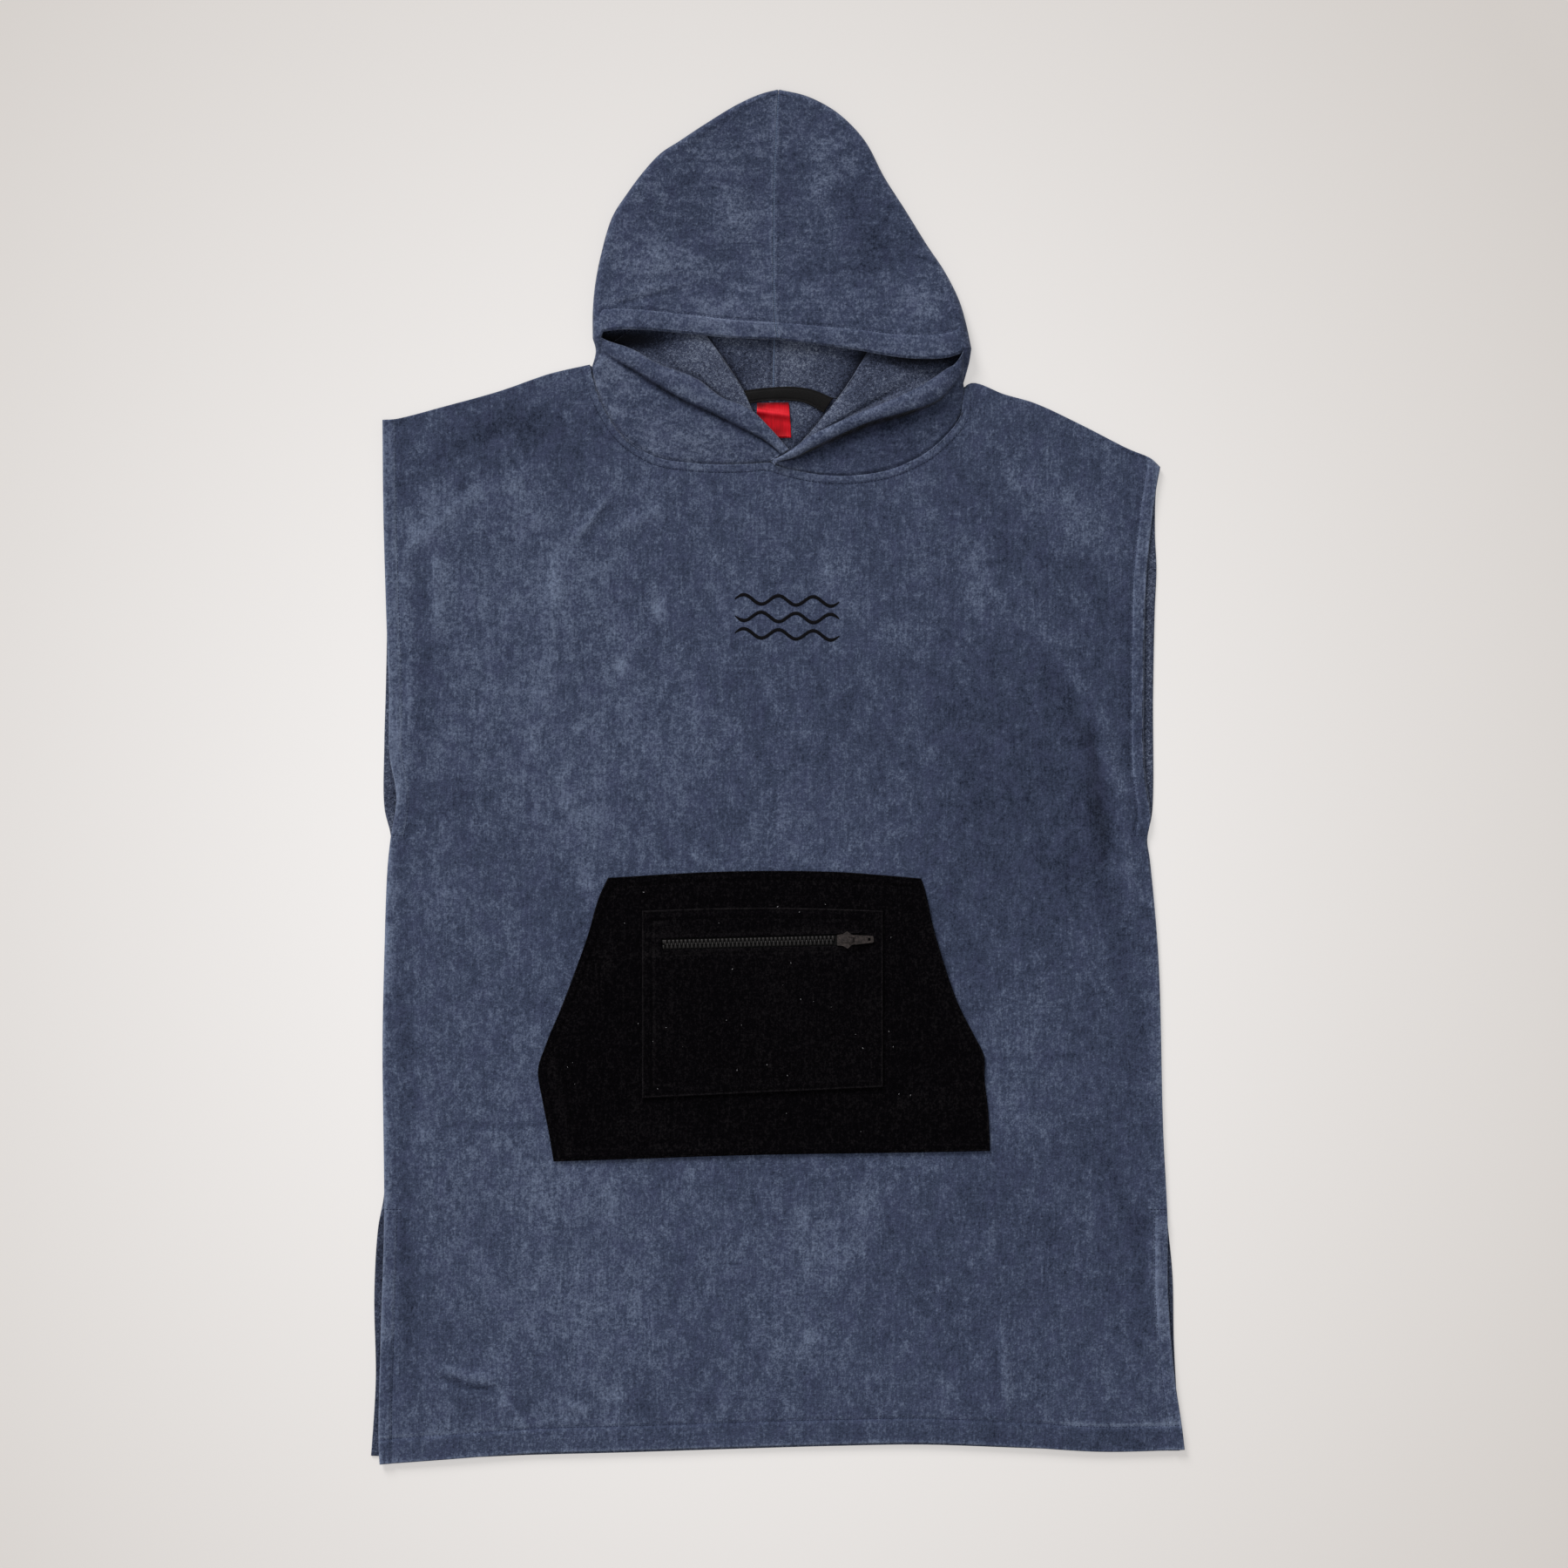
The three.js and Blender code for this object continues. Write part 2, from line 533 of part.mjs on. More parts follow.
// The kangaroo pocket. Columns: x, y.
const POCKET_TOP_EDGE = [
  [-159.7, -95.0], [-94.1, -90.9], [-35.0, -88.6], [52.7, -89.2], [97.0, -92.2], [135.0, -95.5],
];
const POCKET_BOTTOM_EDGE = [
  [-210.7, -361.5], [-122.8, -358.7], [-35.0, -355.7], [140.5, -352.8], [199.8, -351.6],
];
const POCKET_LEFT_EDGE = [
  [-210.7, -361.5], [-215.4, -333.6], [-221.2, -304.5], [-225.3, -275.4], [-217.9, -251.6],
  [-202.3, -213.9], [-190.0, -181.5], [-178.5, -149.1], [-168.3, -113.8], [-159.7, -95.0],
];
const POCKET_RIGHT_EDGE = [
  [199.8, -351.6], [197.9, -313.1], [194.6, -285.0], [194.0, -262.0], [184.7, -243.0],
  [170.0, -213.9], [158.3, -181.5], [146.2, -140.5], [138.5, -106.0], [135.0, -95.5],
];
const HAND_OPENING_START = 0.36;
const HAND_OPENING_SHARE = 0.6;
const HAND_GAPE = 1.6;

function addPocket() {
  const columns = [0, 0.035, 0.045, 0.14, 0.26, 0.38, 0.5, 0.62, 0.74, 0.86, 0.955, 0.965, 1];
  const rowShares = [0, 0.05, 0.06, 0.14, 0.22, 0.3, 0.38, 0.46, 0.54, 0.64, 0.74, 0.84, 0.94, 0.95, 1];
  const patch = {
    bottom: curveThrough(POCKET_BOTTOM_EDGE),
    top: curveThrough(POCKET_TOP_EDGE),
    left: curveThrough(POCKET_LEFT_EDGE),
    right: curveThrough(POCKET_RIGHT_EDGE),
  };
  const sheet = new Sheet(POCKET_CLOTH);
  const lastColumn = columns.length - 1;
  const lastRow = rowShares.length - 1;
  const rows = rowShares.map((t, j) => columns.map((u, i) => {
    const [x, y] = patchPoint(patch, u, t);
    const gape = Math.sin(clamp01((t - HAND_OPENING_START) / HAND_OPENING_SHARE) * Math.PI) * HAND_GAPE;
    const hemmed = i < 2 || i > lastColumn - 2 || j < 2 || j > lastRow - 2;
    const lift = i === 0 || i === lastColumn ? gape : 0;
    return sheet.point(x, y, POCKET_MID + lift, hemmed ? HEM_RELIEF : 0);
  }));
  sheet.grid(rows);
  addMesh('pocket', sheet.geometry(), BLACK_TOWEL);
}

// The zip lies at a slight slope across the patch
const ZIP_START = [-108.0, -157.3];
const ZIP_SLOPE = Math.atan2(4.1, 164);
const WINDOW_HALF = 5.4;
const WINDOW_LENGTH = 187;
const PATCH = { left: -127.3, right: 99.0, bottomLeft: -301.6, bottomRight: -291.3, top: -125.9, arch: 3.1 };

function zipLineY(x) {
  return ZIP_START[1] + (x - ZIP_START[0]) * Math.tan(ZIP_SLOPE);
}

function addZipPocket() {
  const windowLeft = ZIP_START[0] - 1;
  const windowColumn = 1;
  const windowColumns = 6;
  const columns = [PATCH.left];
  for (let i = 0; i <= windowColumns; i += 1) {
    columns.push(windowLeft + WINDOW_LENGTH * i / windowColumns);
  }
  columns.push(PATCH.right);
  const across = (x) => (x - PATCH.left) / (PATCH.right - PATCH.left);
  const bottomLine = (x) => mix(PATCH.bottomLeft, PATCH.bottomRight, across(x));
  const lowWindowLine = (x) => zipLineY(x) - WINDOW_HALF;
  const rowLines = [
    bottomLine,
    (x) => mix(bottomLine(x), lowWindowLine(x), 1 / 3),
    (x) => mix(bottomLine(x), lowWindowLine(x), 2 / 3),
    lowWindowLine,
    (x) => zipLineY(x) + WINDOW_HALF,
    (x) => PATCH.top + PATCH.arch * Math.sin(Math.PI * across(x)),
  ];
  const windowRow = 3;
  const sheet = new Sheet(PATCH_CLOTH);
  const rows = rowLines.map((line) => columns.map((x) => sheet.point(x, line(x), PATCH_MID)));
  const inWindow = (i, j) => j === windowRow && i >= windowColumn && i < windowColumn + windowColumns;
  sheet.grid(rows, false, inWindow);
  addMesh('zip_pocket', sheet.geometry(), BLACK_TOWEL);
}

// Everything on the zip is made along +X from the start of the teeth, and turned to its slope
const zip = new THREE.Group();
zip.position.set(ZIP_START[0], ZIP_START[1], POCKET_TOP + SEAM_GAP);
zip.rotation.z = ZIP_SLOPE;
garment.add(zip);

const TAPE_THICK = 0.8;
const TAPE_HALF = WINDOW_HALF - SEAM_GAP;
const TEETH_HALF = 4.4;
const TEETH_HIGH = 1.7;
const SLIDER_X = 164;
const TAPE_LENGTH = 185;
const TEETH_START = 0.6;
const TEETH_END = SLIDER_X - 1.2;

// Extrudes a profile given as [along X, up] across Y, centred on the zip's line
function acrossZip(profile, width) {
  const shape = new THREE.Shape(profile.map(([x, z]) => new THREE.Vector2(x, z)));
  const geometry = new THREE.ExtrudeGeometry(shape, { depth: width, bevelEnabled: false });
  geometry.rotateX(Math.PI / 2);
  geometry.translate(0, width / 2, 0);
  return geometry;
}

// Extrudes a plan outline upwards
function upright(outline, low, high) {
  const shape = new THREE.Shape(outline.map(([x, y]) => new THREE.Vector2(x, y)));
  const geometry = new THREE.ExtrudeGeometry(shape, { depth: high - low, bevelEnabled: false });
  geometry.translate(0, 0, low);
  return geometry;
}

const wasm = await Module();
wasm.setup();

function solid(geometry) {
  const bare = new THREE.BufferGeometry();
  bare.setAttribute('position', geometry.getAttribute('position').clone());
  if (geometry.index) {
    bare.setIndex(geometry.index.clone());
  }
  const merged = mergeVertices(bare, 1e-4);
  return new wasm.Manifold(new wasm.Mesh({
    numProp: 3,
    vertProperties: new Float32Array(merged.getAttribute('position').array),
    triVerts: new Uint32Array(merged.index.array),
  }));
}

function geometryOf(manifold) {
  const mesh = manifold.getMesh();
  const geometry = new THREE.BufferGeometry();
  geometry.setAttribute('position', new THREE.Float32BufferAttribute(mesh.vertProperties, 3));
  geometry.setIndex(Array.from(mesh.triVerts));
  geometry.computeVertexNormals();
  return geometry;
}

function joined(geometries) {
  return geometryOf(geometries.map(solid).reduce((sum, next) => sum.add(next)));
}

function addZipChain() {
  const box = (from, to, low, high) => [[from, low], [to, low], [to, high], [from, high]];
  const tape = acrossZip(box(0, TAPE_LENGTH, 0, TAPE_THICK), TAPE_HALF * 2);
  const ridgeProfile = box(TEETH_START, TEETH_END, TAPE_THICK / 2, TAPE_THICK + TEETH_HIGH);
  const ridge = acrossZip(ridgeProfile, TEETH_HALF * 2);
  addMesh('zip_chain', joined([tape, ridge]), TOOTH_PLASTIC, zip);
}

// Slider: plate with two side points, a post that runs between the teeth, and the lug that carries the tab
const PLATE_LOW = TAPE_THICK + TEETH_HIGH + SEAM_GAP;
const PLATE_HIGH = PLATE_LOW + 1.4;
const AXIS_X = SLIDER_X + 12.6;
const AXIS_Z = PLATE_HIGH + 2.1;
const LUG_HALF_WIDTH = 2.0;
const BAR_RADIUS = 1.0;
const BORE_RADIUS = BAR_RADIUS + 0.35;
const LUG_REACH = 2.7;

function addSlider() {
  const half = [[0, 4.8], [5.6, 5.6], [9.6, 8.1], [13.4, 5.2], [16.4, 3.9]];
  const lowerSide = half.map(([x, y]) => [SLIDER_X + x, -y]);
  const upperSide = half.map(([x, y]) => [SLIDER_X + x, y]).reverse();
  const outline = [...lowerSide, ...upperSide];
  const plate = upright(outline, PLATE_LOW, PLATE_HIGH);
  const spineHigh = PLATE_HIGH + 0.9;
  const spine = acrossZip([
    [SLIDER_X + 1.6, PLATE_HIGH - 0.4], [SLIDER_X + 11, PLATE_HIGH - 0.4], [SLIDER_X + 11, spineHigh],
    [SLIDER_X + 3.2, spineHigh],
  ], LUG_HALF_WIDTH * 2);
  const post = upright([
    [SLIDER_X + 3, -1.4], [SLIDER_X + 9, -3.2], [SLIDER_X + 12, -3.2], [SLIDER_X + 12, 3.2],
    [SLIDER_X + 9, 3.2], [SLIDER_X + 3, 1.4],
  ], TAPE_THICK + SEAM_GAP, PLATE_LOW + 0.4);
  const lugProfile = [[-LUG_REACH, PLATE_HIGH - 0.4 - AXIS_Z]];
  lugProfile.push([LUG_REACH, PLATE_HIGH - 0.4 - AXIS_Z]);
  const crownSteps = 8;
  for (let k = 0; k <= crownSteps; k += 1) {
    const angle = Math.PI * k / crownSteps;
    lugProfile.push([LUG_REACH * Math.cos(angle), 2.2 * Math.sin(angle)]);
  }
  const lug = acrossZip(lugProfile.map(([x, z]) => [AXIS_X + x, AXIS_Z + z]), LUG_HALF_WIDTH * 2);
  const boreSides = 12;
  const bore = new THREE.CylinderGeometry(BORE_RADIUS, BORE_RADIUS, 12, boreSides);
  bore.translate(AXIS_X, 0, AXIS_Z);
  const uncut = [plate, spine, post, lug].map(solid).reduce((sum, next) => sum.add(next));
  const body = uncut.subtract(solid(bore));
  addMesh('zip_slider', geometryOf(body), DARK_METAL, zip);
}

// Pull tab, modelled level from its cross-bar and then let down until its end lies on the patch
const TAB_LENGTH = 21.0;
const TAB_THICK = 1.3;
const TAB_WINDOW = LUG_REACH + 0.9;
const TAB_EYE = TAB_LENGTH - 4.6;
const TAB_DROP = 0.155;

function addPull() {
  const inner = LUG_HALF_WIDTH + 0.4;
  const outline = [
    [-BAR_RADIUS, -4.2], [TAB_WINDOW + 2, -4.4], [TAB_LENGTH, -3.1], [TAB_LENGTH + 0.9, -2.2],
    [TAB_LENGTH + 0.9, 2.2], [TAB_LENGTH, 3.1], [TAB_WINDOW + 2, 4.4], [-BAR_RADIUS, 4.2],
  ];
  const rectangle = (from, to, half) => [[from, -half], [to, -half], [to, half], [from, half]];
  const plate = solid(upright(outline, -TAB_THICK / 2, TAB_THICK / 2));
  const windowCut = solid(upright(rectangle(-BAR_RADIUS - 1, TAB_WINDOW, inner), -TAB_THICK, TAB_THICK));
  const eyeCut = solid(upright(rectangle(TAB_EYE, TAB_EYE + 2.6, 1.3), -TAB_THICK, TAB_THICK));
  const barSides = 10;
  const bar = new THREE.CylinderGeometry(BAR_RADIUS, BAR_RADIUS, inner * 2 + 1, barSides);
  const body = plate.subtract(windowCut).subtract(eyeCut).add(solid(bar));
  const pull = addMesh('zip_pull', geometryOf(body), DARK_METAL, zip);
  pull.position.set(AXIS_X, 0, AXIS_Z);
  pull.rotation.y = TAB_DROP;
}

// Back neck tape over the seam, and the folded label that hangs from it
const TRIM_MID = CLOTH + SEAM_GAP + TRIM_CLOTH / 2;
const TAPE_UPPER = [
  [-46.0, 361.5], [-32.8, 364.0], [-9.6, 366.7], [14.2, 367.6], [33.0, 364.8], [52.0, 357.0],
];
const TAPE_LOWER = [
  [-46.0, 350.0], [-30.0, 352.0], [-9.6, 354.6], [9.0, 354.9], [25.0, 352.9], [43.5, 343.6],
];

function addTrims() {
  const steps = 10;
  const [upperEdge, lowerEdge] = [sampled(TAPE_UPPER, steps), sampled(TAPE_LOWER, steps)];
  const tape = new Sheet(TRIM_CLOTH);
  tape.grid([lowerEdge, upperEdge].map((edge) => edge.map(([x, y]) => tape.point(x, y, TRIM_MID))));
  addMesh('neck_tape', tape.geometry(), BLACK_TAPE);
  const label = new Sheet(TRIM_CLOTH);
  const rows = [
    { y: 319.6, left: -20.0, right: 12.6, tilt: 0.6 },
    { y: 331.0, left: -19.6, right: 12.2, tilt: 0.2 },
    { y: 342.0, left: -19.4, right: 11.2, tilt: -1.6 },
    { y: 352.6, left: -19.2, right: 10.4, tilt: 0.4 },
  ];
  const across = 4;
  label.grid(rows.map((row) => Array.from({ length: across + 1 }, (_, i) => {
    const s = i / across;
    return label.point(mix(row.left, row.right, s), row.y + row.tilt * (s - 0.5), TRIM_MID);
  })));
  addMesh('label', label.geometry(), RED_SATIN);
}

addPanels();
addHoodHalf(HOOD_LEFT, neckFrontLeft, neckBackLeft);
addHoodHalf(HOOD_RIGHT, neckFrontRight, neckBackRight);
addPocket();
addZipPocket();
addZipChain();
addSlider();
addPull();
addTrims();

export default garment;
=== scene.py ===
"""A hooded bath poncho laid flat: slate-blue velour terry, a black kangaroo pocket with a zip pocket on it.

Sizes are in millimetres in the tables and functions, and MM turns them into Blender's metres.
+X is to the right and +Y runs from the hem to the hood's peak, as in the frame.
"""

import math

import bpy
import numpy as np
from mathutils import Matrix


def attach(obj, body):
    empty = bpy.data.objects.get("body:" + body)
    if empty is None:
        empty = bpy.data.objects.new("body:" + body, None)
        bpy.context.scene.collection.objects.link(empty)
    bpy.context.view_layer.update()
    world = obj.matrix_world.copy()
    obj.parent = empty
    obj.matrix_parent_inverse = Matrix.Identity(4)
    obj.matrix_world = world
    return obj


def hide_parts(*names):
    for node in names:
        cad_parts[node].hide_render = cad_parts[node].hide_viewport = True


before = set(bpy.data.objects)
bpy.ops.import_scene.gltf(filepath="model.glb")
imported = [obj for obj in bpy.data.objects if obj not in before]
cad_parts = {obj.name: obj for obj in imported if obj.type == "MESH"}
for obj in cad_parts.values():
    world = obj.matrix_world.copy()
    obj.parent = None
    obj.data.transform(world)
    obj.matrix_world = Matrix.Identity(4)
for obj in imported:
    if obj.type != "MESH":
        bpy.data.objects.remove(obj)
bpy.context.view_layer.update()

MM = 0.001

# Cloth and layers, as in the frame
CLOTH = 2.2
POCKET_CLOTH = 2.0
PATCH_CLOTH = 1.8
TRIM_CLOTH = 1.2
SEAM_GAP = 0.3
NECK_GAP = 1.5 * SEAM_GAP
BACK_MID = CLOTH / 2
FRONT_MID = BACK_MID + CLOTH + SEAM_GAP
FRONT_TOP = FRONT_MID + CLOTH / 2
POCKET_MID = FRONT_TOP + SEAM_GAP + POCKET_CLOTH / 2
POCKET_TOP = POCKET_MID + POCKET_CLOTH / 2
PATCH_MID = POCKET_TOP + SEAM_GAP + PATCH_CLOTH / 2
PATCH_TOP = PATCH_MID + PATCH_CLOTH / 2

# Hems
HEM_DEPTH = 23.0
SIDE_HEM_DEPTH = 12.0
HOOD_HEM_DEPTH = 21.0
NECK_STITCH_DEPTH = 7.2
HEM_RELIEF = 0.9
EDGE_OVER = 0.25

# Outlines. Columns: x, y.
FRONT_SIDE_LEFT = [
    (-374.7, -647.1), (-375.8, -623.9), (-373.7, -527.1), (-370.5, -417.2), (-372.0, -252.4),
    (-370.4, -170.4), (-367.5, -87.6), (-364.7, -59.7), (-358.9, -18.7), (-365.3, 20.7),
    (-365.9, 80.0), (-368.8, 165.0), (-371.2, 252.7), (-372.0, 336.4),
]
FRONT_SIDE_RIGHT = [
    (383.2, -633.3), (380.7, -612.4), (373.7, -564.0), (367.6, -486.9), (367.0, -413.9),
    (363.1, -334.4), (358.6, -170.4), (350.4, -77.3), (348.0, -59.7), (351.2, -35.9),
    (345.8, 7.5), (345.1, 88.7), (346.9, 180.6), (350.4, 224.0), (356.1, 269.9), (360.2, 292.1),
]
BACK_SIDE_LEFT = [
    (-383.1, -639.4), (-381.9, -623.9), (-378.6, -566.5), (-380.0, -487.7), (-376.5, -425.4),
    (-370.5, -390.0), (-371.0, -252.4), (-366.5, -87.6), (-364.4, -56.0), (-370.4, -29.4),
    (-370.6, 30.0), (-369.0, 90.0), (-368.0, 165.0), (-370.4, 252.7), (-371.2, 335.4),
]
BACK_SIDE_RIGHT = [
    (379.0, -634.6), (376.0, -585.0), (373.2, -529.6), (372.0, -470.0), (366.0, -405.0),
    (362.0, -334.4), (357.6, -170.4), (349.0, -77.3), (348.2, -57.0), (352.8, -33.5),
    (353.7, 77.2), (355.3, 157.6), (356.9, 196.5), (355.5, 228.9), (356.4, 269.9), (359.4, 291.4),
]
FRONT_HEM = [
    (-374.7, -647.1), (-312.5, -642.5), (-234.3, -636.7), (-142.4, -634.1), (-38.3, -630.7),
    (58.5, -628.0), (136.0, -626.9), (228.2, -630.7), (306.9, -635.2), (383.2, -633.3),
]
BACK_HEM = [
    (-383.1, -639.4), (-312.5, -641.5), (-234.3, -638.6), (-142.4, -636.2), (-38.3, -632.8),
    (58.5, -630.0), (136.0, -628.9), (228.2, -631.9), (306.9, -634.6), (379.0, -634.6),
]
SHOULDER_LEFT = [
    (-372.0, 336.4), (-360.0, 337.2), (-312.2, 349.5), (-262.2, 363.4), (-214.6, 379.8),
    (-184.0, 386.9), (-176.2, 388.6),
]
SHOULDER_RIGHT = [
    (176.1, 368.3), (183.4, 371.2), (191.7, 369.6), (211.8, 361.0), (241.9, 352.2),
    (284.8, 332.3), (329.9, 309.3), (351.2, 300.2), (360.2, 292.1),
]
CENTRE_FRONT = (-7.5, 296.6)
CENTRE_BACK_NECK = (-4.0, 360.6)
APEX = (0.8, 647.6)
CENTRE_SEAM = [(0.6, 411.8), (-2.2, 434.8), (-3.2, 549.1), (0.8, 647.6)]

# The halves of the hood. Every line starts at the side and ends at the centre, but the silhouette,
# which runs from the corner of the mouth up to the peak.
HOOD_LEFT = {
    "name": "hood_left",
    "side": -1,
    "silhouette": [
        (-174.0, 413.0), (-174.0, 437.6), (-172.0, 461.8), (-166.2, 492.2), (-155.6, 527.4),
        (-141.9, 549.1), (-125.6, 570.9), (-110.0, 587.5), (-93.2, 598.5), (-71.1, 613.2),
        (-38.3, 633.2), (-15.0, 643.6), (0.8, 647.6),
    ],
    "corner": [(-174.0, 413.0), (-171.2, 401.0), (-175.5, 384.4)],
    "forehead": [
        (-166.2, 418.1), (-149.0, 420.0), (-125.6, 420.0), (-85.0, 417.1), (-44.0, 413.4),
        (0.6, 411.8),
    ],
    "rim": [
        (-166.0, 411.0), (-153.9, 407.7), (-135.1, 401.1), (-112.0, 388.0), (-76.0, 374.1),
        (-52.0, 356.5), (-27.6, 346.9), (-9.0, 330.0), (10.4, 308.4),
    ],
    "rimBand": [
        (-167.0, 402.6), (-153.1, 392.9), (-135.1, 382.7), (-114.6, 370.0), (-87.5, 354.8),
        (-59.6, 342.1), (-34.1, 329.0), (-12.0, 317.0), (4.0, 303.9),
    ],
    "neckFront": [
        (-176.1, 383.1), (-166.2, 353.6), (-144.9, 320.8), (-114.6, 301.5), (-85.0, 296.2),
        (-59.6, 294.5), (-35.0, 294.7), CENTRE_FRONT,
    ],
    "neckBack": [(-176.1, 383.1), (-141.6, 370.8), (-92.4, 363.6), (-45.0, 360.4), CENTRE_BACK_NECK],
}
HOOD_RIGHT = {
    "name": "hood_right",
    "side": 1,
    "silhouette": [
        (182.3, 403.2), (177.4, 426.6), (170.8, 448.7), (157.3, 475.8), (140.9, 500.4),
        (119.1, 535.6), (100.3, 565.1), (83.9, 596.6), (69.0, 614.5), (51.1, 629.3),
        (26.5, 641.6), (0.8, 647.6),
    ],
    "corner": [(182.3, 403.2), (180.4, 390.7), (175.2, 371.4)],
    "forehead": [
        (174.0, 398.4), (157.5, 393.6), (131.9, 392.9), (106.0, 395.8), (78.1, 401.1),
        (37.6, 407.1), (0.6, 411.8),
    ],
    "rim": [
        (173.7, 389.7), (161.0, 384.7), (139.2, 370.2), (110.0, 355.6), (71.6, 339.8),
        (49.2, 329.8), (28.1, 318.9), (14.0, 308.4), (-3.4, 298.2),
    ],
    "rimBand": [
        (174.4, 380.0), (161.0, 364.2), (150.3, 354.4), (120.8, 343.7), (86.3, 334.2),
        (51.1, 319.1), (28.9, 308.3), (14.2, 301.0), (-5.0, 297.4),
    ],
    "neckFront": [
        (176.1, 368.3), (172.4, 340.5), (160.1, 323.2), (138.0, 304.4), (105.2, 289.6),
        (69.9, 283.9), (40.4, 284.7), (10.1, 290.6), CENTRE_FRONT,
    ],
    "neckBack": [(176.1, 368.3), (137.2, 361.0), (96.2, 355.8), (45.1, 357.1), CENTRE_BACK_NECK],
}
SIDE_FOLD_RADIUS = 7.0
PEAK_FOLD_RADIUS = 3.6
NECK_FOLD_RADIUS = 1.7
FOREHEAD_CENTRE_MID = 7.2
CROWN_SAG_MID = 4.6
RIM_MID = 14.2
RIM_TIP_MID = 8.0
NECK_SEAM_MID = 4.1
RIM_RELIEF = 2.6
PEAK_TURN_START = 0.7
MOUTH_GAPE = 3.5
CHEEK_DROP = {-1: 2.2, 1: 8.0}
# Painted shadow under each rim roll, the cheek painted lighter (below 0) or darker beyond it, and the painted
# shade of the crevice under the roll.
CHEEK_SHADE = {-1: 0.14, 1: 0.62}
CHEEK_PAINTED_LIGHT_AND_SHADE = {-1: -0.21, 1: 0.06}
CREVICE_PAINTED_SHADE = {-1: 0.62, 1: 0.8}
BACK_SEAM_GAP = 0.15

# The pockets
POCKET_TOP_EDGE = [
    (-159.7, -95.0), (-94.1, -90.9), (-35.0, -88.6), (52.7, -89.2), (97.0, -92.2), (135.0, -95.5),
]
POCKET_BOTTOM_EDGE = [
    (-210.7, -361.5), (-122.8, -358.7), (-35.0, -355.7), (140.5, -352.8), (199.8, -351.6),
]
POCKET_LEFT_EDGE = [
    (-210.7, -361.5), (-215.4, -333.6), (-221.2, -304.5), (-225.3, -275.4), (-217.9, -251.6),
    (-202.3, -213.9), (-190.0, -181.5), (-178.5, -149.1), (-168.3, -113.8), (-159.7, -95.0),
]
POCKET_RIGHT_EDGE = [
    (199.8, -351.6), (197.9, -313.1), (194.6, -285.0), (194.0, -262.0), (184.7, -243.0),
    (170.0, -213.9), (158.3, -181.5), (146.2, -140.5), (138.5, -106.0), (135.0, -95.5),
]
HAND_OPENING_START = 0.36
HAND_OPENING_SHARE = 0.6
HAND_GAPE = 1.6
ZIP_START = (-108.0, -157.3)
ZIP_SLOPE = math.atan2(4.1, 164.0)
WINDOW_HALF = 5.4
WINDOW_LENGTH = 187.0
PATCH = {
    "left": -127.3,
    "right": 99.0,
    "bottomLeft": -301.6,
    "bottomRight": -291.3,
    "top": -125.9,
    "arch": 3.1,
}


# Numbers and curves


def mix(a, b, t):
    return a + (b - a) * t


def smooth(t):
    t = np.clip(t, 0.0, 1.0)
    return t * t * (3 - 2 * t)


class Curve:
    """A centripetal Catmull-Rom curve through plan points, read by its share of length."""

    def __init__(self, points, fineness=60):
        p = np.array(points, float)
        first = 2 * p[0] - p[1]
        last = 2 * p[-1] - p[-2]
        p = np.vstack([first, p, last])
        pieces = []
        t = np.linspace(0, 1, fineness, endpoint=False)[:, None]
        for i in range(1, len(p) - 2):
            x0, x1, x2, x3 = p[i - 1], p[i], p[i + 1], p[i + 2]
            d0, d1, d2 = (math.sqrt(math.dist(a, b)) for a, b in ((x0, x1), (x1, x2), (x2, x3)))
            m1 = ((x1 - x0) / d0 - (x2 - x0) / (d0 + d1) + (x2 - x1) / d1) * d1
            m2 = ((x2 - x1) / d1 - (x3 - x1) / (d1 + d2) + (x3 - x2) / d2) * d1
            c2 = -3 * x1 + 3 * x2 - 2 * m1 - m2
            c3 = 2 * x1 - 2 * x2 + m1 + m2
            pieces.append(x1 + m1 * t + c2 * t**2 + c3 * t**3)
        pieces.append(p[-2][None])
        self.line = np.vstack(pieces)
        steps = np.linalg.norm(np.diff(self.line, axis=0), axis=1)
        self.length = float(steps.sum())
        self.share = np.concatenate([[0], np.cumsum(steps)]) / self.length

    def __call__(self, t):
        t = np.clip(t, 0.0, 1.0)
        return np.stack([np.interp(t, self.share, self.line[:, k]) for k in (0, 1)], axis=-1)


def graded(length, coarse, fine, zones):
    """Shares along a length, close together in the zones given in millimetres, further apart elsewhere."""
    at = np.linspace(0, length, 4000)
    spacing = np.full_like(at, coarse)
    for start, end in zones:
        away = np.maximum(np.maximum(start - at, at - end), 0)
        spacing = np.minimum(spacing, fine + away * 0.22)
    steps = np.concatenate([[0], np.cumsum(np.diff(at) / spacing[1:])])
    count = math.ceil(steps[-1])
    return np.interp(np.linspace(0, steps[-1], count + 1), steps, at) / length


def shifted(chain, distance):
    """An open chain of plan points moved sideways, to the left of its direction when positive."""
    ahead = np.vstack([chain[1:], chain[-1:]])
    behind = np.vstack([chain[:1], chain[:-1]])
    way = ahead - behind
    way /= np.linalg.norm(way, axis=1, keepdims=True)
    return chain + np.stack([-way[:, 1], way[:, 0]], axis=1) * distance


def lattice_noise(x, y, size, seed):
    """Smooth noise from -1 to 1 whose bumps are about size millimetres across."""
    table = np.random.default_rng(seed).uniform(-1, 1, (256, 256))
    gx, gy = x / size + 101.3, y / size + 57.9
    ix, iy = np.floor(gx).astype(int), np.floor(gy).astype(int)
    fx, fy = gx - ix, gy - iy
    fx, fy = (f**3 * (f * (f * 6 - 15) + 10) for f in (fx, fy))
    corner = [[table[(ix + a) % 256, (iy + b) % 256] for b in (0, 1)] for a in (0, 1)]
    low = mix(corner[0][0], corner[1][0], fx)
    high = mix(corner[0][1], corner[1][1], fx)
    return mix(low, high, fy)


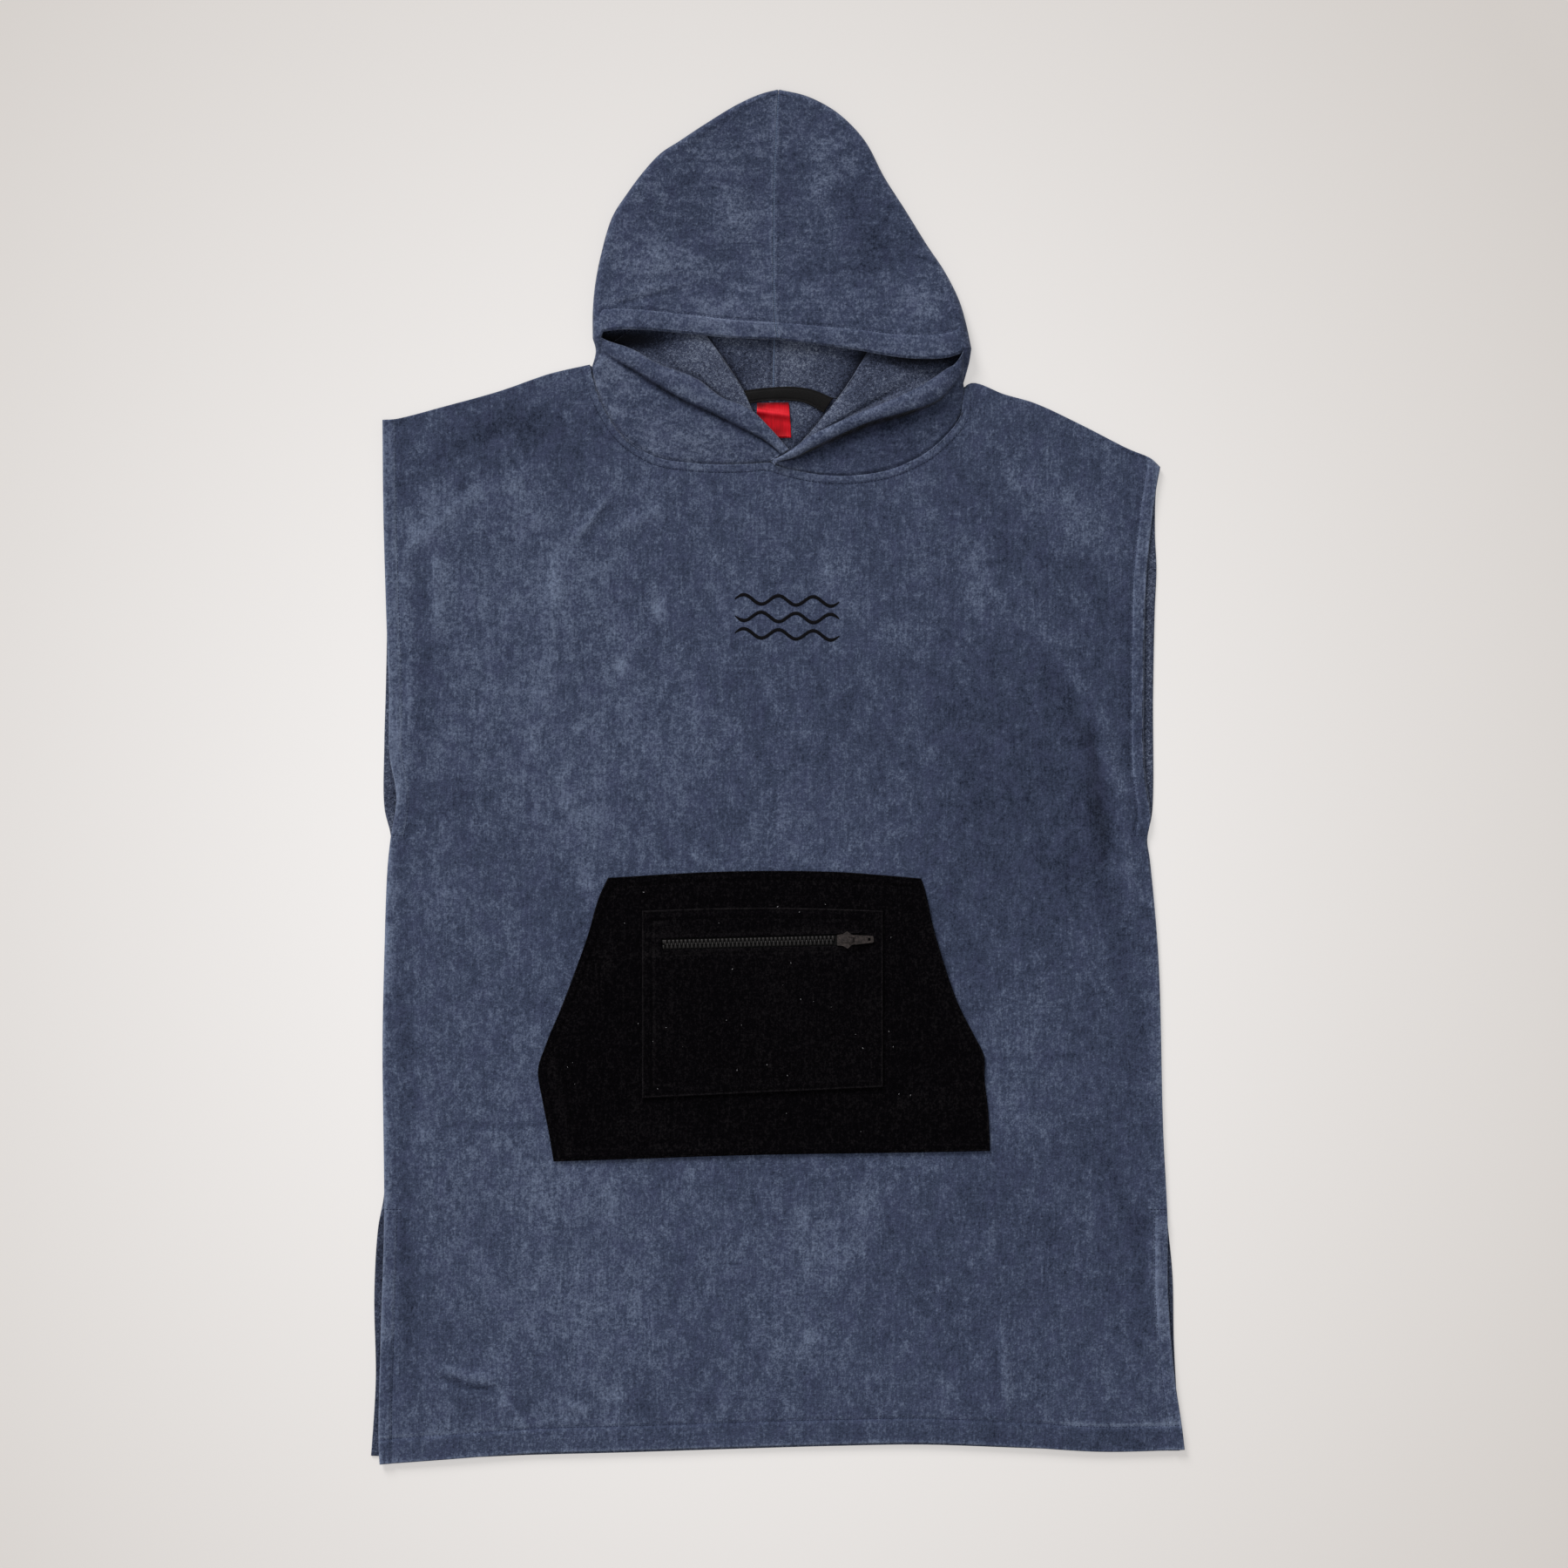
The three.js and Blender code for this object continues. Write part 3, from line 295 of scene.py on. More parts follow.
def distance_to(line, x, y):
    """Distance from each plan point to a chain of close points, and the share along it of the nearest."""
    flat = np.stack([np.ravel(x), np.ravel(y)], axis=1)
    best = np.full(len(flat), 1e9)
    share = np.zeros(len(flat))
    for start in range(0, len(flat), 20000):
        part = flat[start : start + 20000]
        gaps = np.hypot(part[:, None, 0] - line[None, :, 0], part[:, None, 1] - line[None, :, 1])
        nearest = gaps.argmin(axis=1)
        best[start : start + 20000] = gaps[np.arange(len(part)), nearest]
        share[start : start + 20000] = nearest / (len(line) - 1)
    return best.reshape(np.shape(x)), share.reshape(np.shape(x))


def patch_points(patch, u, t):
    """Plan points of a patch between four boundary curves, for arrays of column and row shares."""
    bottom, top, left, right = (patch[k] for k in ("bottom", "top", "left", "right"))
    b, c, l, r = bottom(u), top(u), left(t), right(t)
    u, t = u[..., None], t[..., None]
    corners = [np.asarray(f(np.array(e))) for f, e in ((bottom, 0.0), (bottom, 1.0), (top, 0.0), (top, 1.0))]
    between_corners = mix(mix(corners[0], corners[1], u), mix(corners[2], corners[3], u), t)
    return mix(b, c, t) + mix(l, r, u) - between_corners


# Meshes


class Cloth:
    """Quads in the middle of a cloth. They become a shell with two faces and round edges."""

    def __init__(self, name, thickness):
        self.name = name
        self.half = thickness / 2
        self.points, self.relief, self.inner, self.nap, self.quads, self.under = [], [], [], [], [], []
        self.count = 0

    def grid(self, points, relief=None, inner=None, nap=None, flip=False, keep=None, under=None):
        """Adds a grid of rows and columns.

        relief raises the outer face, inner raises the inner face, and nap darkens the colour above 0 and
        lightens it below 0, carrying the pile's tone together with painted shade and painted light.
        """
        rows, columns = points.shape[:2]
        zero = np.zeros((rows, columns))
        index = np.arange(rows * columns).reshape(rows, columns) + self.count
        quads = np.stack([index[:-1, :-1], index[:-1, 1:], index[1:, 1:], index[1:, :-1]], axis=-1)
        if flip:
            quads = quads[..., ::-1]
        keep = np.ones(quads.shape[:2], bool) if keep is None else keep
        under = np.ones(quads.shape[:2], bool) if under is None else under
        self.points.append(points.reshape(-1, 3))
        self.relief.append((zero if relief is None else relief).ravel())
        self.inner.append((zero if inner is None else inner).ravel())
        self.nap.append((zero if nap is None else nap + zero).ravel())
        self.quads.append(quads[keep])
        self.under.append(under[keep])
        self.count += rows * columns
        return index

    def merge(self):
        points = np.vstack(self.points)
        keys = np.round(points, 3)
        _, first, inverse = np.unique(keys, axis=0, return_index=True, return_inverse=True)
        inverse = inverse.reshape(-1)
        self.where = inverse
        quads = inverse[np.vstack(self.quads)]
        raised = [np.concatenate(values)[first] for values in (self.relief, self.inner, self.nap)]
        return points[first], *raised, quads

    def build(self, outer_material, inner_material, roll_steps=5):
        points, relief, inner, nap, quads = self.merge()
        under = np.concatenate(self.under)
        triangles = []
        for corners in ((0, 1, 2), (0, 2, 3)):
            part = quads[:, corners]
            real = (part[:, 0] != part[:, 1]) & (part[:, 1] != part[:, 2]) & (part[:, 2] != part[:, 0])
            triangles.append((part[real], under[real]))
        faces = np.vstack([t for t, _ in triangles])
        below = np.concatenate([u for _, u in triangles])
        ab = points[faces[:, 1]] - points[faces[:, 0]]
        ac = points[faces[:, 2]] - points[faces[:, 0]]
        cross = np.cross(ab, ac)
        normals = np.zeros_like(points)
        for k in range(3):
            np.add.at(normals, faces[:, k], cross)
        normals /= np.maximum(np.linalg.norm(normals, axis=1, keepdims=True), 1e-9)
        top = points + normals * (self.half + relief)[:, None]
        low = points - normals * (self.half + inner)[:, None]

        count = len(points)
        edges = {}
        for k in range(3):
            for a, b in zip(faces[:, k], faces[:, (k + 1) % 3]):
                edges[(int(a), int(b))] = True
        rim = [(a, b) for a, b in edges if (b, a) not in edges]
        rim_array = np.array(rim)
        out = np.zeros_like(points)
        along = points[rim_array[:, 1]] - points[rim_array[:, 0]]
        for end in (0, 1):
            n = normals[rim_array[:, end]]
            np.add.at(out, rim_array[:, end], np.cross(along, n))
        ids = np.unique(rim_array)
        out[ids] /= np.maximum(np.linalg.norm(out[ids], axis=1, keepdims=True), 1e-9)
        for face in (top, low):
            face[ids] -= out[ids] * self.half
        vertices = [top, low]
        middle = (top[ids] + low[ids]) / 2
        reach = self.half + EDGE_OVER
        loops = {}
        offset = 2 * count
        for step in range(1, roll_steps):
            angle = math.pi * step / roll_steps
            ring = middle + (top[ids] - middle) * math.cos(angle) + out[ids] * reach * math.sin(angle)
            vertices.append(ring)
            loops[step] = {int(v): offset + i for i, v in enumerate(ids)}
            offset += len(ids)
        loops[0] = {int(v): int(v) for v in ids}
        loops[roll_steps] = {int(v): int(v) + count for v in ids}
        rim_faces = []
        rim_materials = []
        for step in range(roll_steps):
            upper, lower = loops[step], loops[step + 1]
            for a, b in rim:
                rim_faces.append((upper[b], upper[a], lower[a], lower[b]))
                rim_materials.append(0 if step < roll_steps - 1 else 1)
        quad_like = [tuple(dict.fromkeys(q)) for q in quads.tolist()]
        outer_faces = [q for q in quad_like if len(q) > 2]
        inner_faces = [
            tuple(i + count for i in reversed(q)) for q, u in zip(quad_like, under) if len(q) > 2 and u
        ]
        all_faces = outer_faces + inner_faces + rim_faces
        materials = [0] * len(outer_faces) + [1] * len(inner_faces) + rim_materials
        naps = np.concatenate([nap, nap] + [nap[ids]] * (roll_steps - 1))
        both = [outer_material, inner_material]
        piece = mesh_piece(self.name, np.vstack(vertices), all_faces, both, materials, nap=naps)
        self.top, self.normals = top[self.where], normals[self.where]
        return piece


def mesh_piece(name, vertices, faces, materials, indices=None, nap=None):
    """A Blender object from points in millimetres. Points that no face uses are left out."""
    used = np.unique(np.fromiter((v for f in faces for v in f), int))
    renumber = np.full(len(vertices), -1)
    renumber[used] = np.arange(len(used))
    mesh = bpy.data.meshes.new(name)
    faces = [tuple(int(renumber[v]) for v in f) for f in faces]
    mesh.from_pydata((np.asarray(vertices)[used] * MM).tolist(), [], faces)
    for material in materials:
        mesh.materials.append(material)
    if indices is not None:
        mesh.polygons.foreach_set("material_index", indices)
    mesh.polygons.foreach_set("use_smooth", [True] * len(mesh.polygons))
    # The nap attribute carries the pile's tone together with painted shade and painted light.
    if nap is not None:
        mesh.attributes.new("nap", "FLOAT", "POINT").data.foreach_set("value", nap[used])
    mesh.update()
    piece = bpy.data.objects.new(name, mesh)
    bpy.context.scene.collection.objects.link(piece)
    return piece


def joined_copies(name, template, faces, places, material):
    """One mesh of many copies. places is a list of (origin, x axis, y axis, z axis) in millimetres."""
    vertices = []
    all_faces = []
    faces = np.array(faces, dtype=object)
    for i, (origin, ax, ay, az) in enumerate(places):
        basis = np.stack([ax, ay, az])
        vertices.append(template @ basis + origin)
        base = i * len(template)
        all_faces.extend(tuple(v + base for v in f) for f in faces)
    return mesh_piece(name, np.vstack(vertices), all_faces, [material])


# Materials


class Nodes:
    """Short calls that build a material's node tree."""

    def __init__(self, name):
        self.material = bpy.data.materials.new(name)
        self.material.use_nodes = True
        self.tree = self.material.node_tree
        self.shader = self.tree.nodes["Principled BSDF"]
        self.place = self.node("ShaderNodeTexCoord").outputs["Object"]

    def node(self, kind, **values):
        made = self.tree.nodes.new(kind)
        for key, value in values.items():
            setattr(made, key, value)
        return made

    def link(self, source, target):
        self.tree.links.new(source, target)

    def noise(self, scale, detail=2.0, rough=0.5, distortion=0.0):
        """Noise of the part's own coordinates, scale being bumps a metre along each axis."""
        mapping = self.node("ShaderNodeMapping")
        mapping.inputs["Scale"].default_value = scale
        self.link(self.place, mapping.inputs["Vector"])
        noise = self.node("ShaderNodeTexNoise")
        noise.inputs["Scale"].default_value = 1.0
        noise.inputs["Detail"].default_value = detail
        noise.inputs["Roughness"].default_value = rough
        noise.inputs["Distortion"].default_value = distortion
        self.link(mapping.outputs["Vector"], noise.inputs["Vector"])
        return noise.outputs["Fac"]

    def value(self, operation, a, b):
        made = self.node("ShaderNodeMath", operation=operation)
        for socket, value in zip(made.inputs, (a, b)):
            if isinstance(value, (int, float)):
                socket.default_value = value
            else:
                self.link(value, socket)
        return made.outputs[0]

    def weighted(self, parts):
        """The sum of (noise - 0.5) * weight over the parts."""
        total = None
        for socket, weight in parts:
            term = self.value("MULTIPLY", self.value("SUBTRACT", socket, 0.5), weight)
            total = term if total is None else self.value("ADD", total, term)
        return total

    def ramp(self, factor, stops):
        ramp = self.node("ShaderNodeValToRGB")
        elements = ramp.color_ramp.elements
        while len(elements) < len(stops):
            elements.new(0.5)
        for element, (position, colour) in zip(elements, stops):
            element.position = position
            element.color = (*colour, 1.0)
        self.link(factor, ramp.inputs["Fac"])
        return ramp.outputs["Color"]

    def mixed(self, factor, a, b, blend="MIX"):
        made = self.node("ShaderNodeMix", data_type="RGBA", blend_type=blend)
        for key, value in ((0, factor), (6, a), (7, b)):
            if isinstance(value, tuple):
                made.inputs[key].default_value = (*value, 1.0)
            elif isinstance(value, (int, float)):
                made.inputs[key].default_value = value
            else:
                self.link(value, made.inputs[key])
        return made.outputs[2]

    def napped_with_painted_shade(self, factor, stops, share=0.5):
        """A ramp whose factor falls where the nap attribute darkens the pile or paints shade, and rises where
        it paints light; past 0.4 the colour is painted nearly black as the shade of a deep fold.
        """
        nap = self.node("ShaderNodeAttribute", attribute_name="nap").outputs["Fac"]
        colour = self.ramp(self.value("SUBTRACT", factor, self.value("MULTIPLY", nap, share)), stops)
        # Painted shade: where nap passes 0.4 the colour is mixed towards near-black.
        deep = self.value("MULTIPLY", self.value("MAXIMUM", self.value("SUBTRACT", nap, 0.4), 0.0), 1.5)
        return self.mixed(self.value("MINIMUM", deep, 0.93), colour, (0.002, 0.002, 0.003))

    def bump(self, height, distance, strength=1.0, below=None):
        made = self.node("ShaderNodeBump")
        made.inputs["Distance"].default_value = distance
        made.inputs["Strength"].default_value = strength
        self.link(height, made.inputs["Height"])
        if below is not None:
            self.link(below, made.inputs["Normal"])
        return made.outputs["Normal"]

    def finish(self, colour, roughness, normal=None, **constants):
        if isinstance(colour, tuple):
            self.shader.inputs["Base Color"].default_value = (*colour, 1.0)
        else:
            self.link(colour, self.shader.inputs["Base Color"])
        if isinstance(roughness, (int, float)):
            self.shader.inputs["Roughness"].default_value = roughness
        else:
            self.link(roughness, self.shader.inputs["Roughness"])
        if normal is not None:
            self.link(normal, self.shader.inputs["Normal"])
        for key, value in constants.items():
            socket = self.shader.inputs[key.replace("_", " ")]
            socket.default_value = (*value, 1.0) if isinstance(value, tuple) else value
        return self.material


def srgb(r, g, b):
    """Linear colour of a screen colour from 0 to 255."""
    return tuple((c / 255 / 12.92) if c <= 10 else ((c / 255 + 0.055) / 1.055) ** 2.4 for c in (r, g, b))


def velour(
    name,
    dark,
    middle,
    light,
    mottle=1.0,
    streak=0.6,
    grain=0.55,
    painted_shade_across=0.0,
    sheen=0.2,
    gloss=0.16,
    stretch=(1, 1),
):
    """Cut pile: soft blotches where the pile leans, fine streaks along the warp, and a close nap."""
    n = Nodes(name)
    broad = n.noise((6, 4.5, 6), 2.0, 0.5, 0.5)
    blotch = n.noise((26 * stretch[0], 17 * stretch[1], 26), 3.0, 0.6, 0.6)
    cloud = n.noise((110 * stretch[0], 80 * stretch[1], 110), 3.0, 0.65, 0.4)
    speck = n.noise((360, 300, 360), 2.0, 0.6)
    ribs = n.noise((420, 30, 60), 2.0, 0.6)
    warp = n.noise((900, 110, 110), 2.0, 0.6)
    nap = n.noise((640, 600, 640), 2.0, 0.6)
    parts = [
        (broad, mottle * 0.25), (blotch, mottle * 0.36), (cloud, mottle * 0.62), (speck, grain * 1.25),
        (ribs, streak * 0.4), (warp, streak * 0.5), (nap, grain * 1.15),
    ]
    factor = n.value("ADD", n.weighted(parts), 0.5)
    # Painted shade: the colour darkens steadily towards +X, standing in for light that falls off across the
    # garment.
    if painted_shade_across:
        across = n.node("ShaderNodeSeparateXYZ")
        n.link(n.place, across.inputs[0])
        factor = n.value("SUBTRACT", factor, n.value("MULTIPLY", across.outputs["X"], painted_shade_across))
    colour = n.napped_with_painted_shade(factor, [(0.06, dark), (0.5, middle), (0.94, light)])
    tint = n.noise((60, 44, 60), 3.0, 0.6)
    warm = tuple(c * k for c, k in zip(middle, (1.1, 0.94, 1.12)))
    amount = n.value("MULTIPLY", n.value("SUBTRACT", tint, 0.45), 1.1)
    colour = n.mixed(n.value("MAXIMUM", amount, 0.0), colour, warm)
    height = n.weighted([(nap, 1.0), (warp, 0.8), (speck, 1.4)])
    normal = n.bump(height, 0.0010, 0.6)
    return n.finish(colour, 0.96, normal, Sheen_Weight=sheen, Sheen_Roughness=0.45,
                    Sheen_Tint=(0.75, 0.82, 1.0), Specular_IOR_Level=gloss)


def terry_loops(name, dark, middle, light, sheen=0.2, gloss=0.14):
    """Loop pile, coarser and rougher than the outside."""
    n = Nodes(name)
    blotch = n.noise((22, 20, 22), 3.0, 0.6, 0.5)
    loops = n.noise((420, 420, 420), 3.0, 0.7, 0.8)
    fine = n.noise((1100, 1100, 1100), 2.0, 0.6)
    factor = n.value("ADD", n.weighted([(blotch, 0.5), (loops, 1.3), (fine, 0.8)]), 0.5)
    colour = n.napped_with_painted_shade(factor, [(0.15, dark), (0.5, middle), (0.85, light)])
    normal = n.bump(n.weighted([(loops, 1.0), (fine, 0.6)]), 0.0018, 0.8)
    return n.finish(colour, 0.97, normal, Sheen_Weight=sheen, Sheen_Roughness=0.5,
                    Sheen_Tint=(0.8, 0.85, 1.0), Specular_IOR_Level=gloss)


def woven_tape(name, dark, light):
    n = Nodes(name)
    weave = n.noise((700, 1500, 700), 1.0, 0.5)
    colour = n.ramp(weave, [(0.3, dark), (0.7, light)])
    return n.finish(colour, 0.72, n.bump(weave, 0.0004, 0.6), Sheen_Weight=0.02, Specular_IOR_Level=0.15)


def satin(name, dark, middle, light):
    n = Nodes(name)
    threads = n.noise((1600, 90, 400), 2.0, 0.5)
    cloud = n.noise((60, 45, 60), 2.0, 0.5)
    factor = n.value("ADD", n.weighted([(threads, 0.4), (cloud, 0.7)]), 0.5)
    colour = n.napped_with_painted_shade(factor, [(0.2, dark), (0.5, middle), (0.85, light)])
    return n.finish(colour, 0.5, n.bump(threads, 0.0002, 0.5), Specular_IOR_Level=0.18)


def thread(name, colour, light, sheen=0.1, gloss=0.2):
    n = Nodes(name)
    twist = n.noise((1800, 1800, 1800), 1.0, 0.5)
    shade = n.ramp(twist, [(0.3, colour), (0.7, light)])
    return n.finish(shade, 0.8, n.bump(twist, 0.0002, 0.5), Sheen_Weight=sheen, Specular_IOR_Level=gloss)


def moulded(name, dark, light, roughness):
    n = Nodes(name)
    cloud = n.noise((300, 300, 300), 3.0, 0.6)
    colour = n.ramp(cloud, [(0.3, dark), (0.7, light)])
    rough = n.value("ADD", n.value("MULTIPLY", cloud, 0.2), roughness - 0.1)
    return n.finish(colour, rough, n.bump(cloud, 0.00015, 0.4), Specular_IOR_Level=0.5)


def enamelled(name, dark, light):
    n = Nodes(name)
    wear = n.noise((500, 500, 500), 4.0, 0.65)
    colour = n.ramp(wear, [(0.35, dark), (0.75, light)])
    rough = n.value("ADD", n.value("MULTIPLY", wear, 0.25), 0.3)
    return n.finish(colour, rough, n.bump(wear, 0.0001, 0.4), Metallic=0.15, Specular_IOR_Level=0.3)


BLUE = velour("blue_velour", srgb(22, 29, 46), srgb(59, 68, 91), srgb(109, 121, 145), painted_shade_across=0.08)
BLUE_HOOD = velour(
    "blue_velour_hood",
    srgb(20, 27, 45),
    srgb(59, 68, 91),
    srgb(113, 124, 148),
    mottle=1.1,
    streak=0.3,
    grain=0.6,
    stretch=(0.6, 1.5),
)
BLUE_INSIDE = terry_loops("blue_terry_loops", srgb(18, 24, 40), srgb(62, 70, 92), srgb(124, 134, 154))
BLACK = velour(
    "black_velour",
    srgb(0, 0, 1),
    srgb(4, 3, 5),
    srgb(27, 25, 27),
    mottle=0.3,
    streak=0.5,
    grain=0.6,
    painted_shade_across=0.0,
    sheen=0.012,
    gloss=0.03,
)
BLACK_INSIDE = terry_loops("black_terry_loops", srgb(2, 2, 3), srgb(6, 6, 8), srgb(14, 14, 17), 0.02, 0.03)
NAVY_THREAD = thread("navy_thread", srgb(18, 23, 38), srgb(38, 45, 66), 0.0, 0.1)
PALE_THREAD = thread("pale_thread", srgb(66, 80, 108), srgb(100, 116, 144))
BLACK_THREAD = thread("black_thread", srgb(1, 1, 2), srgb(5, 5, 6), 0.0, 0.04)
EMBROIDERY = thread("black_embroidery", srgb(5, 5, 9), srgb(16, 15, 20), 0.0, 0.12)
LINT = thread("pale_lint", srgb(96, 96, 100), srgb(150, 150, 154))
TAPE = woven_tape("black_tape", srgb(5, 5, 6), srgb(18, 17, 18))
LABEL = satin("red_satin", srgb(105, 3, 14), srgb(186, 5, 24), srgb(236, 40, 56))
TEETH = moulded("zip_plastic", srgb(5, 4, 5), srgb(20, 17, 18), 0.6)
ZIP_TAPE = woven_tape("zip_tape", srgb(4, 4, 5), srgb(13, 13, 14))
METAL = enamelled("zip_metal", srgb(30, 27, 28), srgb(70, 63, 61))


# The front and back panels

FRONT_NECK = np.vstack([
    Curve(HOOD_LEFT["neckFront"])(np.linspace(0, 1, 120)),
    Curve(HOOD_RIGHT["neckFront"])(np.linspace(1, 0, 120))[1:],
])
BACK_NECK = np.vstack([
    Curve(HOOD_LEFT["neckBack"])(np.linspace(0, 1, 80)),
    Curve(HOOD_RIGHT["neckBack"])(np.linspace(1, 0, 80))[1:],
])
MEAN_WIDTH = 735.0
MEAN_LENGTH = 975.0
NECK_LEFT_SHARE = 0.268
NECK_RIGHT_SHARE = 0.749

# Soft folds of the laid cloth. Columns: x, y, half width, half length, height.
SOFT_FOLDS = [
    (-345, 75, 16, 70, 2.2),
    (350, -465, 14, 85, 2.4),
    (-180, 235, 18, 26, 1.4),
    (-300, -575, 30, 16, 1.3),
    (208, -560, 12, 34, 1.4),
    (250, 180, 40, 60, 1.2),
]

# Creases of the front. Columns: x and y of the two ends, width, height (a trough when below 0).
FRONT_CREASES = [
    (-182, 220, -154, 252, 5, -0.7),
    (-318, -567, -268, -576, 4, -1.6),
    (-322, -560, -266, -568, 6, 1.2),
    (-258, -586, -236, -612, 5, 1.2),
    (-250, -584, -228, -608, 4, -1.1),
    (-200, -590, -176, -596, 4, 1.2),
    (204, -520, 209, -585, 4, -1.0),
    (210, -520, 215, -585, 5, 0.9),
    (-188, 228, -160, 262, 3, 1.6),
    (-206, 190, -196, 120, 6, 0.8),
    (-156, 226, -106, 254, 6, 0.8),
    (-352, 210, -344, 20, 8, 1.2),
    (-338, 190, -331, 60, 12, -0.8),
    (-334, 60, -348, -60, 11, -0.7),
    (-350, -60, -350, -240, 9, -0.8),
    (-350, -240, -348, -360, 10, -0.9),
    (-349, -380, -345, -560, 9, -0.9),
    (-355, 262, -318, 305, 9, -0.6),
    (-318, 305, -262, 325, 10, -0.35),
    (-262, 325, -192, 350, 9, -0.5),
    (-345, 215, -300, 262, 9, 1.1),
    (-300, 262, -225, 292, 10, 0.9),
    (-321, 205, -316, 140, 8, 1.1),
    (-207, 205, -219, 73, 8, 0.9),
    (-330, 240, -290, 285, 6, -0.7),
    (-347, -327, -219, -328, 2.5, -1.1),
    (198, -268, 291, -262, 3, -0.8),
    (201, -408, 204, -462, 3.5, 0.9),
    (352, -420, 356, -522, 9, 1.5),
    (343, -410, 346, -520, 8, -0.9),
    (205, 205, 260, 104, 12, -0.4),
    (260, 104, 296, 26, 11, -0.5),
    (296, 40, 304, -70, 9, -0.8),
    (304, -70, 316, -150, 10, -0.5),
    (318, -150, 332, -300, 10, -0.6),
    (314, -330, 336, -440, 14, -0.5),
    (174, 244, 198, 174, 9, 0.5),
    (198, 174, 252, 135, 9, 0.5),
    (252, 135, 307, 50, 8, 1.0),
    (307, 50, 326, -36, 8, 1.1),
    (326, -36, 334, -140, 7, 0.9),
    (160, 262, 250, 200, 26, -0.5),
    (230, 290, 320, 215, 24, 0.5),
    (-250, 30, -180, -60, 34, 0.4),
    (-120, -430, 60, -460, 30, 0.4),
    (60, -500, 200, -520, 26, -0.4),
    (-200, -480, -90, -540, 28, 0.4),
    (-60, 90, -20, -10, 34, -0.3),
]


# Patches of painted light, or of painted shade when the amount is below 0.
# Columns: x, y, half width, half length, amount.
PAINTED_LIGHT_PATCHES = [
    (-113, 158, 6, 10, 0.75),
    (-147, 106, 6, 8, 0.55),
    (142, 23, 7, 10, 0.4),
    (116, 143, 12, 8, 0.28),
    (196, 172, 11, 14, 0.16),
    (-199, -20, 9, 12, 0.34),
    (-180, -98, 9, 14, 0.36),
    (244, -238, 30, 38, 0.2),
    (229, -320, 22, 18, 0.24),
    (81, -417, 16, 36, 0.3),
    (-160, -402, 12, 38, 0.24),
    (26, -534, 20, 20, 0.24),
    (285, -416, 26, 40, 0.1),
    (-280, 320, 90, 40, -0.3),
    (-260, 200, 60, 70, 0.05),
    (255, -30, 110, 150, -0.4),
    (215, 235, 90, 60, 0.12),
    (-250, -350, 110, 140, 0.08),
    (250, -430, 100, 120, -0.14),
]


def creases(x, y, rows):
    """The height that soft creases add at plan points: each fades towards its ends and away from its line."""
    total = np.zeros_like(x)
    for ax, ay, bx, by, width, height in rows:
        dx, dy = bx - ax, by - ay
        length = math.hypot(dx, dy)
        t = ((x - ax) * dx + (y - ay) * dy) / length**2
        aside = ((x - ax) * dy - (y - ay) * dx) / length
        bend = lattice_noise(t * 40 + ax, np.full_like(t, ay), 17, 5) * width * 0.5
        ends = smooth((t + 0.25) / 0.45) * smooth((1.25 - t) / 0.45)
        total += height * np.exp(-(((aside + bend) / width) ** 2)) * ends
    return total


def ripples(x, y, seed, size=1.0):
    """The unevenness of cloth that was smoothed out by hand: long swells, then shorter ones."""
    long_swell = lattice_noise(x, y * 0.7, 120, seed) * 0.9
    middle_swell = lattice_noise(x * 1.2, y * 0.8, 52, seed + 1) * 0.42
    short_swell = lattice_noise(x * 1.1, y * 0.7, 21, seed + 2) * 0.14
    return (long_swell + middle_swell + short_swell) * size


def hem_relief(distance, depth, share, height=HEM_RELIEF, pucker=0.3, pull=1.05):
    """A turned hem: raised up to its stitches, pulled in along them, with small puckers on both sides."""
    raised = height * smooth((depth + 1.5 - distance) / 3.0)
    ditch = -pull * np.exp(-(((distance - depth) / 1.5) ** 2))
    level = distance * 0.0
    waves = lattice_noise(share, level + 3.1, 9, 31) + 0.6 * lattice_noise(share, level, 4.5, 32)
    gathered = waves * pucker * np.exp(-(((distance - depth) / 8.0) ** 2))
    return raised + ditch + gathered


FRONT_LINES = {
    "hem": Curve(FRONT_HEM),
    "left": Curve(FRONT_SIDE_LEFT),
    "right": Curve(FRONT_SIDE_RIGHT),
}
VENT_TOP = -410.0
ARMHOLE_BOTTOM = -55.0


def edge_distances(x, y, lines):
    """How far each point lies inside the hem, the left side and the right side."""
    hem, left, right = lines["hem"].line, lines["left"].line, lines["right"].line
    order = np.argsort(left[:, 1])
    from_left = x - np.interp(y, left[order, 1], left[order, 0])
    order = np.argsort(right[:, 1])
    from_right = np.interp(y, right[order, 1], right[order, 0]) - x
    return y - np.interp(x, hem[:, 0], hem[:, 1]), from_left, from_right


def front_lift(x, y):
    """How far the middle of the front's cloth stands above its flat layer."""
    lift = creases(x, y, FRONT_CREASES) + ripples(x, y, 11)
    for fx, fy, width, length, height in SOFT_FOLDS:
        lift += height * np.exp(-(((x - fx) / width) ** 2) - ((y - fy) / length) ** 2)
    hem, left, right = edge_distances(x, y, FRONT_LINES)
    near = np.minimum(np.minimum(hem, left), right)
    lift *= 0.35 + 0.65 * smooth(near / 40.0)
    under_pocket = smooth((235 - np.abs(x + 8)) / 30) * smooth((150 - np.abs(y + 226)) / 30)
    lift *= 1 - 0.75 * under_pocket
    return np.maximum(lift, -0.25)


